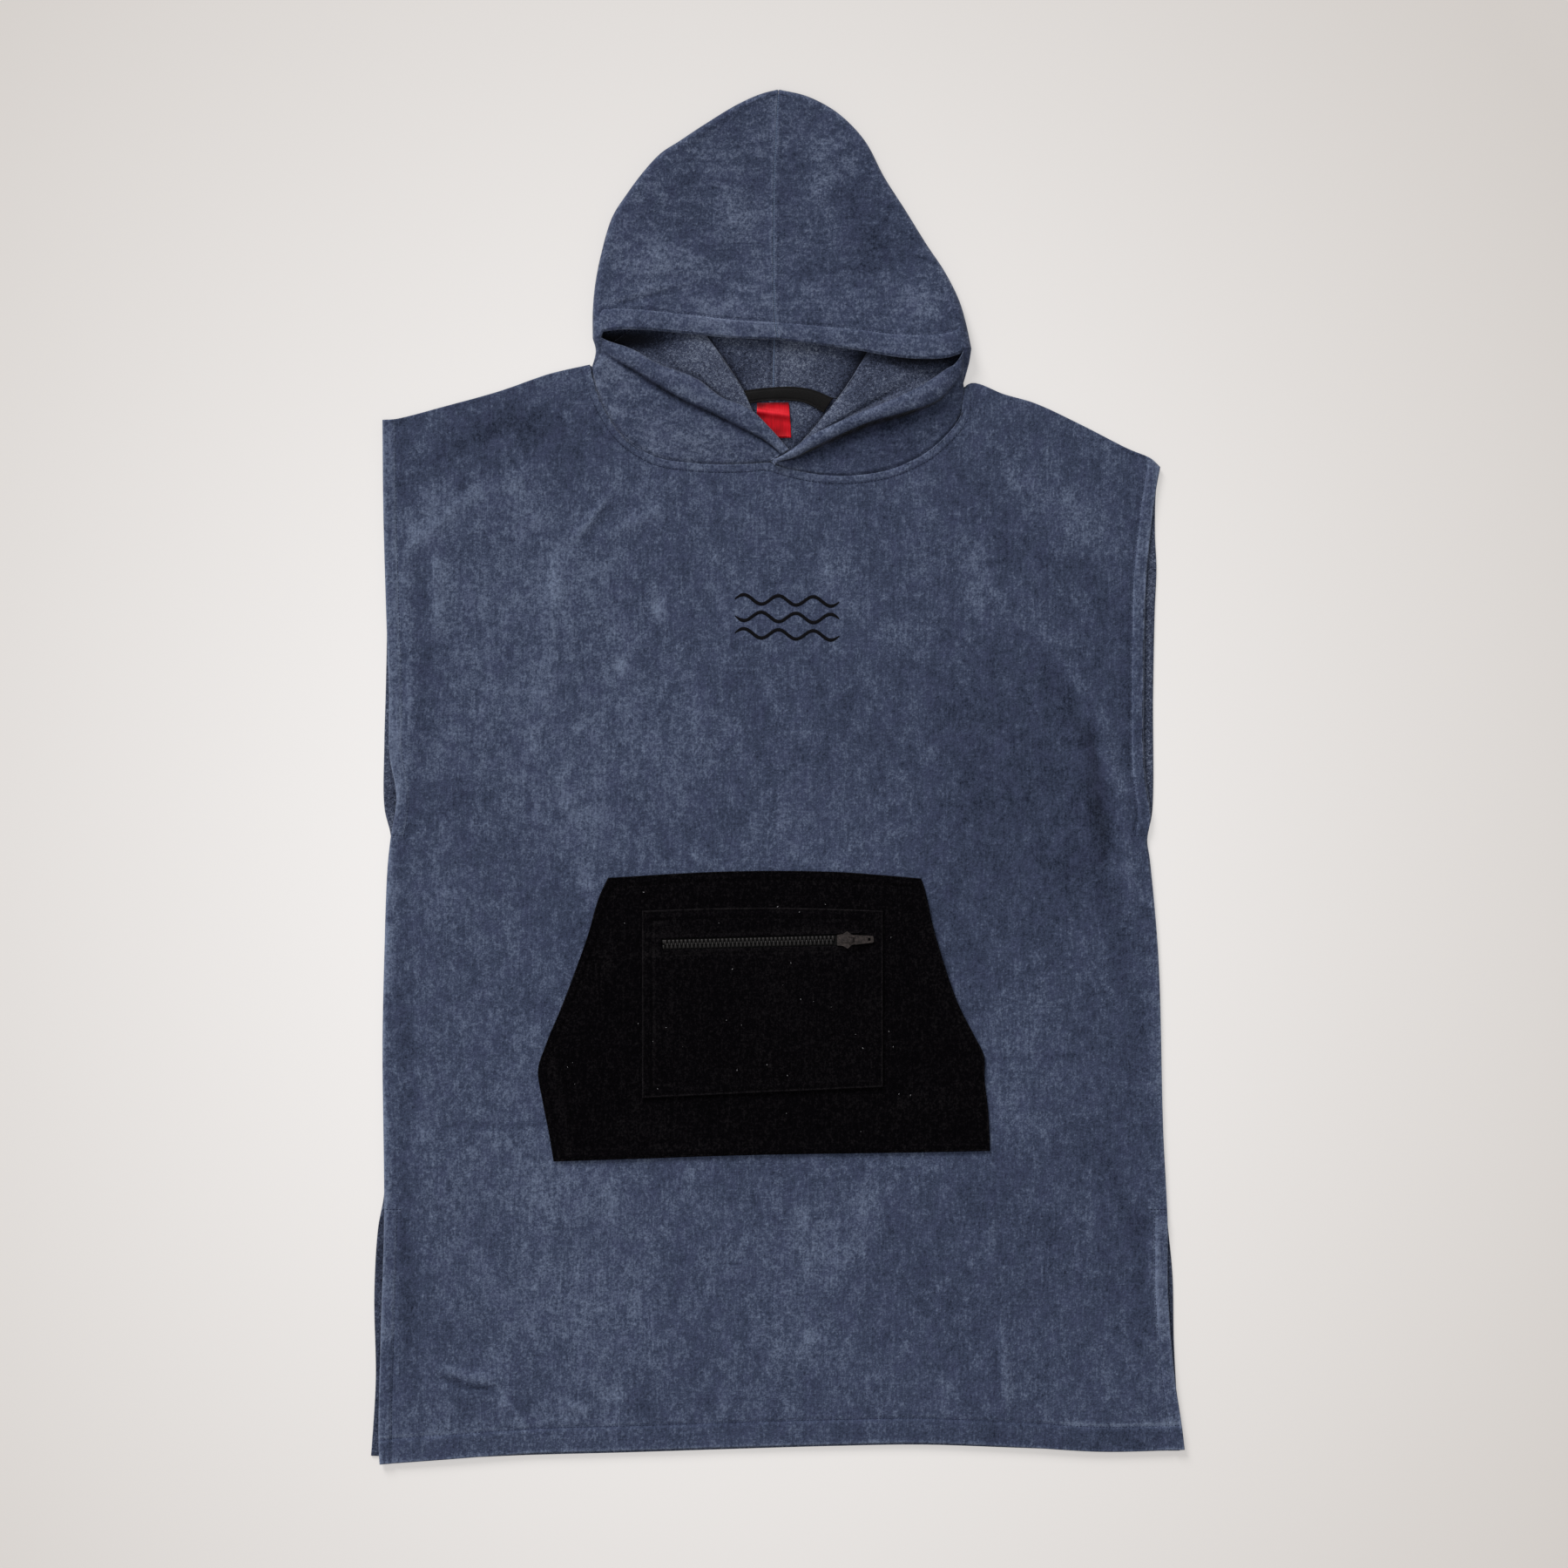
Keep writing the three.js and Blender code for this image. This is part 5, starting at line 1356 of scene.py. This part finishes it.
def patch_relief(x, y):
    border = patch_border(x, y)
    relief = 0.5 * smooth((10.8 - border) / 3.0)
    for depth in PATCH_STITCHES:
        relief = relief - 0.5 * np.exp(-(((border - depth) / 1.1) ** 2))
    window = np.abs(y - zip_line(x)) - WINDOW_HALF
    past_end = np.maximum(ZIP_START[0] - 1 - x, x - (ZIP_START[0] - 1 + WINDOW_LENGTH))
    window = np.maximum(window, past_end)
    relief = relief + 0.35 * smooth((4.6 - window) / 2.0) - 0.4 * np.exp(-(((window - 4.2) / 0.9) ** 2))
    return relief + ripples(x, y, 97, 0.22) * smooth((window - 4) / 10) * smooth(border / 10)


def patch_painted_light(x, y):
    # Painted light along the patch's edges, its turned edge and round the zip's window, and a painted shade
    # line at the stitches on the left.
    border = patch_border(x, y)
    beside = (x < -100) * 1.0
    turned_edge = (0.06 + 0.24 * beside) * np.exp(-(((border - 10.8) / 1.6) ** 2))
    nap = -0.03 - 0.45 * np.exp(-((border / 1.6) ** 2)) - turned_edge
    nap += 0.2 * beside * np.exp(-(((border - 8.6) / 1.0) ** 2))
    window = np.abs(y - zip_line(x)) - WINDOW_HALF
    return nap - 0.2 * np.exp(-(((window - 3) / 4) ** 2)) * (x < ZIP_START[0] + WINDOW_LENGTH)


def patch_lift(x, y):
    away = np.maximum(np.abs(y - zip_line(x)) - 12, 0)
    keep = smooth(away / 16)
    return pocket_lift(x, y) * keep + 0.1


def build_zip_pocket():
    left = ZIP_START[0] - 1
    right = left + WINDOW_LENGTH
    xs = [
        PATCH["left"] + graded(left - PATCH["left"], 1.3, 1.0, []) * (left - PATCH["left"]),
        left + graded(WINDOW_LENGTH, 2.6, 1.2, [(0, 4), (WINDOW_LENGTH - 4, WINDOW_LENGTH)]) * WINDOW_LENGTH,
        right + graded(PATCH["right"] - right, 1.3, 1.0, []) * (PATCH["right"] - right),
    ]
    first, last = len(xs[0]) - 1, len(xs[0]) + len(xs[1]) - 2
    x = np.concatenate([xs[0], xs[1][1:], xs[2][1:]])[None, :]
    low, high = patch_edges(x)
    sill, head = zip_line(x) - WINDOW_HALF, zip_line(x) + WINDOW_HALF
    shares = [
        graded(135.0, 2.6, 1.0, [(0, 11), (130, 135)]),
        np.linspace(0, 1, 7),
        graded(26.0, 1.3, 1.0, [(0, 4)]),
    ]
    ends = ((low, sill), (sill, head), (head, high))
    bands = [mix(a, b, share[:, None]) for (a, b), share in zip(ends, shares)]
    sill_row, head_row = len(shares[0]) - 1, len(shares[0]) + len(shares[1]) - 2
    y = np.vstack([bands[0], bands[1][1:], bands[2][1:]])
    x = np.broadcast_to(x, y.shape)
    keep = np.ones((y.shape[0] - 1, y.shape[1] - 1), bool)
    keep[sill_row:head_row, first:last] = False
    cloth = Cloth("zip_pocket_cloth", PATCH_CLOTH)
    plan = np.stack([x, y], axis=-1)
    height = with_height(plan, PATCH_MID + patch_lift(x, y))
    cloth.grid(height, relief=patch_relief(x, y), nap=patch_painted_light(x, y), keep=keep)
    piece = cloth.build(BLACK, BLACK_INSIDE)
    dress(piece, ["zip_pocket"])


# The zip, made along X from its start and turned to its slope

ZIP_BASE = POCKET_TOP + SEAM_GAP
TAPE_THICK = 0.8
TAPE_LENGTH = 185.0
TAPE_HALF = WINDOW_HALF - SEAM_GAP
TOOTH_PITCH = 3.85
TEETH_TOP = 1.7
LAST_TOOTH = 162.0
TOOTH_OUTLINE = [
    (1.3, 4.4), (1.3, 1.75), (0.86, 1.15), (0.92, -0.2), (0.62, -1.15),
    (-0.62, -1.15), (-0.92, -0.2), (-0.86, 1.15), (-1.3, 1.75), (-1.3, 4.4),
]


def loft(outline, levels):
    """A closed solid through copies of an outline. levels are (height, shrink) pairs."""
    outline = np.array(outline, float)
    middle = outline.mean(axis=0)
    rings = [np.column_stack([middle + (outline - middle) * k, np.full(len(outline), z)]) for z, k in levels]
    count = len(outline)
    faces = [tuple(reversed(range(count)))]
    for level in range(len(levels) - 1):
        for i in range(count):
            j = (i + 1) % count
            base = level * count
            faces.append((base + i, base + j, base + count + j, base + count + i))
    faces.append(tuple(range((len(levels) - 1) * count, len(levels) * count)))
    return np.vstack(rings), faces


def zip_axes(mirror=1):
    ax = np.array([math.cos(ZIP_SLOPE), math.sin(ZIP_SLOPE), 0])
    ay = np.array([-math.sin(ZIP_SLOPE), math.cos(ZIP_SLOPE), 0])
    return ax, ay * mirror, np.array([0.0, 0, 1])


def zip_place(x, y=0.0, z=0.0):
    ax, ay, az = zip_axes()
    return np.array([ZIP_START[0], ZIP_START[1], ZIP_BASE]) + ax * x + ay * y + az * z


def build_zip():
    outline = list(reversed(TOOTH_OUTLINE))
    levels = [
        (TAPE_THICK - 0.1, 0.92),
        (TAPE_THICK + 0.9, 0.9),
        (TAPE_THICK + 1.4, 0.8),
        (TAPE_THICK + TEETH_TOP, 0.58),
    ]
    template, faces = loft(outline, levels)
    places = []
    for row, mirror in ((0, 1), (0.5, -1)):
        x = 2.4 + row * TOOTH_PITCH
        while x < LAST_TOOTH:
            ax, ay, az = zip_axes(mirror)
            places.append((zip_place(x), ax * mirror, ay, az))
            x += TOOTH_PITCH
    teeth = joined_copies("zip_teeth", template, faces, places, TEETH)
    stops = [(zip_place(0.7, side * 2.4), *zip_axes()) for side in (-1, 1)]
    stop, stop_faces = loft([(-0.9, -1.9), (0.9, -1.9), (0.9, 1.9), (-0.9, 1.9)], levels)
    bottom_stop = joined_copies("zip_bottom_stop", stop, stop_faces, stops, TEETH)
    for piece in (teeth, bottom_stop):
        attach(piece, "garment")
        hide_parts("zip_chain")
    steps = np.arange(0, TAPE_LENGTH + 0.1, 1.5)
    across = np.array([-TAPE_HALF, -3.6, -1.2, 1.2, 3.6, TAPE_HALF])
    rows = np.stack([[zip_place(x, y, TAPE_THICK / 2) for x in steps] for y in across])
    tape = Cloth("zip_tape", TAPE_THICK)
    tape.grid(rows, relief=np.zeros(rows.shape[:2]))
    piece = tape.build(ZIP_TAPE, ZIP_TAPE)
    dress(piece, ["zip_chain"])
    for name in ("zip_slider", "zip_pull"):
        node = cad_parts[name]
        node.data.materials.clear()
        node.data.materials.append(METAL)
        bevel = node.modifiers.new("soft_edges", "BEVEL")
        bevel.width = 0.00028
        bevel.segments = 2
        bevel.limit_method = "ANGLE"


# Neck tape and label

TRIM_MID = CLOTH + SEAM_GAP + TRIM_CLOTH / 2
TAPE_UPPER = [(-33.6, 363.8), (-9.6, 366.7), (14.2, 367.6), (33.0, 364.8), (52.0, 357.0)]
TAPE_LOWER = [(-26.4, 352.4), (-9.6, 354.6), (9.0, 354.9), (25.0, 352.9), (43.5, 343.6)]
LABEL_ROWS = [
    (319.6, -20.0, 12.6, 0.6), (331.0, -19.6, 12.2, 0.2),
    (342.0, -19.4, 11.2, -1.6), (352.6, -19.2, 10.4, 0.4),
]


def build_trims():
    u = np.linspace(0, 1, 90)
    t = np.linspace(0, 1, 16)[:, None]
    plan = mix(Curve(TAPE_LOWER)(u)[None], Curve(TAPE_UPPER)(u)[None], t[..., None])
    middle = np.sin(t * math.pi)
    bow = 0.5 * middle + 0.4 * lattice_noise(u[None, :] * 98, t * 10, 14, 7) * middle
    stitched = -0.35 * (np.exp(-(((t - 0.12) / 0.06) ** 2)) + np.exp(-(((t - 0.88) / 0.06) ** 2)))
    tape = Cloth("neck_tape_woven", TRIM_CLOTH)
    tape.grid(with_height(plan, TRIM_MID + 0.35 + np.maximum(bow, 0)), relief=stitched + 0 * u[None, :])
    piece = tape.build(TAPE, TAPE)
    dress(piece, ["neck_tape"])

    rows = np.array(LABEL_ROWS)
    t = np.linspace(0, 1, 60)
    y, left, right, tilt = (np.interp(t, np.linspace(0, 1, 4), rows[:, k])[:, None] for k in range(4))
    s = np.linspace(0, 1, 40)[None, :]
    x = mix(left, right, s)
    y = y + tilt * (s - 0.5)
    fold = 2.2 * np.exp(-(((y - 344.2 + 4.5 * (s - 0.2)) / 2.6) ** 2)) + 1.2 * smooth((326 - y) / 8) * s
    label = Cloth("label_satin", TRIM_CLOTH)
    plan = np.stack([x, y], axis=-1)
    # Painted shadow at the label's top under the tape, a painted highlight on its fold and painted shade just
    # below the fold.
    painted_tape_shadow = 0.62 * smooth((y - 346.0) / 7.0)
    ridge = y - 344.2 + 4.5 * (s - 0.2)
    painted_fold_highlight = 0.7 * np.exp(-(((ridge + 0.6) / 1.8) ** 2)) * mix(1.0, 0.3, s)
    nap = painted_tape_shadow - painted_fold_highlight + 0.25 * np.exp(-(((ridge + 5) / 2.0) ** 2))
    label.grid(with_height(plan, TRIM_MID + 0.2 + fold + 0.2 * lattice_noise(x, y, 9, 12)), nap=nap)
    piece = label.build(LABEL, LABEL)
    dress(piece, ["label"])


def dress(piece, nodes):
    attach(piece, "garment")
    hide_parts(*nodes)


# Stitches

STITCH_PITCH = 3.1
STITCH_LENGTH = 2.3


def stitch_template(thick):
    sides, stations = 6, [(-0.5, 0.25), (-0.36, 0.85), (0, 1.0), (0.36, 0.85), (0.5, 0.25)]
    rings = []
    for along, size in stations:
        angles = np.arange(sides) / sides * 2 * math.pi
        beside = np.cos(angles) * thick * size
        above = np.sin(angles) * thick * size
        ring = np.stack([np.full(sides, along * STITCH_LENGTH), beside, above], 1)
        rings.append(ring)
    count = len(stations)
    faces = [
        (k * sides + i, (k + 1) * sides + i, (k + 1) * sides + (i + 1) % sides, k * sides + (i + 1) % sides)
        for k in range(count - 1) for i in range(sides)
    ]
    faces += [tuple(range(sides)), tuple(reversed(range((count - 1) * sides, count * sides)))]
    return np.vstack(rings), faces


def along_line(line, pitch):
    """Points and directions at even steps along a chain of space points."""
    steps = np.linalg.norm(np.diff(line, axis=0), axis=1)
    total = np.concatenate([[0], np.cumsum(steps)])
    at = np.arange(pitch / 2, total[-1], pitch)
    points = np.stack([np.interp(at, total, line[:, k]) for k in range(3)], axis=1)
    ahead = np.stack([np.interp(at + 0.8, total, line[:, k]) for k in range(3)], axis=1)
    behind = np.stack([np.interp(at - 0.8, total, line[:, k]) for k in range(3)], axis=1)
    way = ahead - behind
    return points, way / np.linalg.norm(way, axis=1, keepdims=True)


def sew(name, lines, material, thick=0.34, sink=0.05, seed=1, pitch=STITCH_PITCH):
    """Stitches along chains of space points that lie on the cloth."""
    template, faces = stitch_template(thick)
    rng = np.random.default_rng(seed)
    places = []
    for line in lines:
        points, ways = along_line(line, pitch)
        for point, ax in zip(points, ways):
            ax = ax + rng.normal(0, 0.03, 3) * (1, 1, 0.3)
            ax /= np.linalg.norm(ax)
            ay = np.cross((0, 0, 1.0), ax)
            ay /= np.linalg.norm(ay)
            places.append((point - np.array([0, 0, sink]), ax, ay, np.cross(ax, ay)))
    piece = joined_copies(name, template, faces, places, material)
    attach(piece, "garment")
    return piece


def on_front(plan):
    return np.column_stack([plan, front_height(plan[:, 0], plan[:, 1])])


def side_line(line, inwards, low, high):
    """A plan chain at a distance inside a side of the front, between two heights of Y."""
    order = np.argsort(line[:, 1])
    y = np.arange(low, high, 2.0)
    return np.column_stack([np.interp(y, line[order, 1], line[order, 0]) + inwards, y])


def sew_front():
    hem = FRONT_LINES["hem"](np.linspace(0.004, 0.996, 380)) + np.array([0, HEM_DEPTH])
    lines = [on_front(hem)]
    for name, way in (("left", 1), ("right", -1)):
        line = FRONT_LINES[name].line
        lines.append(on_front(side_line(line, way * SIDE_HEM_DEPTH, ARMHOLE_BOTTOM, 286 if way < 0 else 332)))
        lines.append(on_front(side_line(line, way * SIDE_HEM_DEPTH, -628, VENT_TOP)))
        for y in (ARMHOLE_BOTTOM, VENT_TOP, VENT_TOP + 3):
            start = side_line(line, way * 1.0, y, y + 1)[0]
            end = start + np.array([way * SIDE_HEM_DEPTH * 1.25, 0])
            lines.append(on_front(mix(start, end, np.linspace(0, 1, 12)[:, None])))
    sew("front_hem_stitches", lines, NAVY_THREAD, seed=3)
    neck = shifted(FRONT_NECK[4:-4:2], -NECK_STITCH_DEPTH)
    sew("neck_stitches", [on_front(neck)], NAVY_THREAD, seed=4)


def sew_pockets():
    lines = []
    chains = {
        "top": [POCKET["top"](np.linspace(0.01, 0.99, 150)), -1],
        "bottom": [POCKET["bottom"](np.linspace(0.01, 0.99, 200)), 1],
        "left": [POCKET["left"](np.linspace(0.02, 0.98, 160)), -1],
        "right": [POCKET["right"](np.linspace(0.02, 0.98, 160)), 1],
    }
    for chain, way in chains.values():
        for depth in POCKET_STITCHES:
            plan = shifted(chain, way * depth)
            lines.append(np.column_stack([plan, pocket_height(plan[:, 0], plan[:, 1])]))
    x = np.linspace(PATCH["left"] + 1, PATCH["right"] - 1, 160)
    low, high = patch_edges(x)
    for depth in PATCH_STITCHES:
        inside = (x > PATCH["left"] + depth) & (x < PATCH["right"] - depth)
        sides = [np.column_stack([x, edge])[inside] for edge in (low + depth, high - depth)]
        for end, way in ((PATCH["left"], 1), (PATCH["right"], -1)):
            bottom, top = patch_edges(np.array([end + way * depth]))
            y = np.arange(bottom[0] + depth, top[0] - depth, 2.0)
            sides.append(np.column_stack([np.full_like(y, end + way * depth), y]))
        for plan in sides:
            z = PATCH_TOP + patch_lift(plan[:, 0], plan[:, 1]) + patch_relief(plan[:, 0], plan[:, 1])
            lines.append(np.column_stack([plan, z]))
    for offset in (WINDOW_HALF + 4.2, -WINDOW_HALF - 4.2):
        wx = np.linspace(ZIP_START[0] - 5, ZIP_START[0] + WINDOW_LENGTH + 3, 120)
        wy = zip_line(wx) + offset
        lines.append(np.column_stack([wx, wy, PATCH_TOP + patch_lift(wx, wy) + patch_relief(wx, wy)]))
    sew("pocket_stitches", lines, BLACK_THREAD, seed=5)


def sew_hood(left_top, right_top):
    lines = []
    seam_lines = []
    for half, top in ((HOOD_LEFT, left_top), (HOOD_RIGHT, right_top)):
        length = Curve(half["silhouette"]).length * 0.93
        shares = graded(Curve(half["silhouette"]).length, 3.4, 1.2, [(14, 30), (0, 3)])
        row = int(np.argmin(np.abs(shares * length - HOOD_HEM_DEPTH)))
        lines.append(top[row, 1:])
        if half["side"] < 0:
            seam_lines.append(top[2:-3, 0] + np.array([1.4, 0, 0]))
    start, end = np.array([APEX[0], APEX[1] - PEAK_FOLD_RADIUS]), np.array(CENTRE_BACK_NECK)
    plan = mix(start, end, np.linspace(0.8, 0.975, 40)[:, None])
    inside_face = BACK_MID + CLOTH / 2 + inside_height(plan[:, 0], plan[:, 1])
    seam_lines.append(np.column_stack([plan, inside_face + 0.4]))
    sew("hood_hem_stitches", lines, NAVY_THREAD, seed=6)
    sew("hood_seam_stitches", seam_lines, PALE_THREAD, 0.8, 0.5, 7, 2.0)


# Plain wave lines embroidered on the chest, and lint on the pocket

WAVE_LEFT = -40.0
WAVE_LENGTH = 98.0
WAVE_ROWS = (168.0, 152.0, 136.0)
WAVE_HEIGHT = 4.2
WAVE_PERIOD = 32.7
WAVE_SLOPE = 0.03


def embroider():
    template, faces = stitch_template(0.36)
    template = template * np.array([1.5, 1.0, 1.0])
    places = []
    for row, base in enumerate(WAVE_ROWS):
        x = np.arange(0, WAVE_LENGTH, 0.52)
        phase = (x + row * WAVE_PERIOD / 2) / WAVE_PERIOD * 2 * math.pi
        y = base + WAVE_HEIGHT * np.sin(phase) - x * WAVE_SLOPE
        slope = WAVE_HEIGHT * 2 * math.pi / WAVE_PERIOD * np.cos(phase)
        taper = np.minimum(1.0, 0.35 + np.minimum(x, WAVE_LENGTH - x) / 9)
        x = x + WAVE_LEFT
        z = front_height(x, y) + 0.12
        for px, py, pz, rise, size in zip(x, y, z, slope, taper):
            ax = np.array([-rise, 1, 0]) / math.hypot(rise, 1)
            ay = np.array([-ax[1], ax[0], 0])
            places.append((np.array([px, py, pz]), ax * size, ay, np.array([0, 0, 1.0])))
    piece = joined_copies("chest_embroidery", template, faces, places, EMBROIDERY)
    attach(piece, "garment")


def scatter_lint():
    rng = np.random.default_rng(17)
    template, faces = stitch_template(0.5)
    places = []
    for _ in range(34):
        u, t = rng.uniform(0.06, 0.94, 2)
        x, y = patch_points(POCKET, np.array([u]), np.array([t]))[0]
        point = np.array([x]), np.array([y])
        z = pocket_height(*point)[0]
        if patch_border(*point)[0] > 0:
            z = (PATCH_TOP + patch_lift(*point) + patch_relief(*point))[0]
        if abs(y - zip_line(x)) < 9 and PATCH["left"] < x < PATCH["right"]:
            continue
        size, turn = rng.uniform(0.25, 0.75), rng.uniform(0, math.pi)
        ax = np.array([math.cos(turn), math.sin(turn), 0])
        ay = np.array([-ax[1], ax[0], 0])
        places.append((np.array([x, y, z + 0.2]), ax * size, ay * size, np.array([0, 0, size])))
    piece = joined_copies("lint", template, faces, places, LINT)
    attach(piece, "garment")


def main():
    build_back()
    build_front()
    left_top = build_hood(HOOD_LEFT)
    right_top = build_hood(HOOD_RIGHT)
    build_pocket()
    build_zip_pocket()
    build_zip()
    build_trims()
    sew_front()
    sew_pockets()
    sew_hood(left_top, right_top)
    embroider()
    scatter_lint()
    stage_and_light()


# The floor, the light and the camera

VIEW_CENTRE = (6.0, -6.4)
VIEW_WIDTH = 1476.0
LENS = 85.0
SENSOR = 36.0


def stage_and_light():
    scene = bpy.context.scene
    n = Nodes("pale_floor")
    mapping = n.node("ShaderNodeMapping")
    mapping.inputs["Scale"].default_value = (1.0, 0.84, 1.0)
    mapping.inputs["Location"].default_value = (0.08, 0.05, 0.0)
    n.link(n.place, mapping.inputs["Vector"])
    away = n.node("ShaderNodeVectorMath", operation="LENGTH")
    n.link(mapping.outputs["Vector"], away.inputs[0])
    # Painted light: the floor's colour is brighter towards the middle, a painted pool of light, and the floor
    # glows, brighter in the middle too.
    colour = n.ramp(away.outputs["Value"], [(0.25, (0.4, 0.392, 0.389)), (1.0, (0.302, 0.287, 0.275))])
    painted_floor_glow = n.ramp(away.outputs["Value"], [(0.3, (1.04, 1.022, 1.015)), (1.0, (0.795, 0.758, 0.727))])
    n.link(painted_floor_glow, n.shader.inputs["Emission Color"])
    floor_material = n.finish(colour, 0.9, Specular_IOR_Level=0.2, Emission_Strength=0.465)
    reach = 30000.0
    corners = [(-reach, -reach, 0), (reach, -reach, 0), (reach, reach, 0), (-reach, reach, 0)]
    floor = mesh_piece("floor", np.array(corners, float), [(0, 1, 2, 3)], [floor_material])

    pool = bpy.data.lights.new("overhead", "AREA")
    pool.size = 1.0
    pool.energy = 8
    pool.color = (1.0, 0.985, 0.97)
    lamp = bpy.data.objects.new("overhead", pool)
    lamp.location = (-0.2, -0.15, 2.0)
    lamp.visible_camera = False
    lamp.visible_glossy = False
    scene.collection.objects.link(lamp)
    window = bpy.data.lights.new("window", "SUN")
    window.energy = 3.0
    window.angle = math.radians(24)
    window.color = (1.0, 0.985, 0.97)
    lamp = bpy.data.objects.new("window", window)
    lamp.rotation_euler = (math.radians(-62), 0, math.radians(28))
    scene.collection.objects.link(lamp)
    world = bpy.data.worlds.new("studio")
    world.use_nodes = True
    background = world.node_tree.nodes["Background"]
    background.inputs["Color"].default_value = (1.0, 0.975, 0.955, 1.0)
    background.inputs["Strength"].default_value = 0.36
    scene.world = world
    scene.view_settings.view_transform = "Standard"
    scene.view_settings.look = "None"

    camera_data = bpy.data.cameras.new("camera")
    camera_data.lens = LENS
    camera_data.sensor_width = SENSOR
    camera = bpy.data.objects.new("camera", camera_data)
    camera.location = (VIEW_CENTRE[0] * MM, VIEW_CENTRE[1] * MM, LENS / SENSOR * VIEW_WIDTH * MM + 0.006)
    scene.collection.objects.link(camera)
    scene.camera = camera


main()
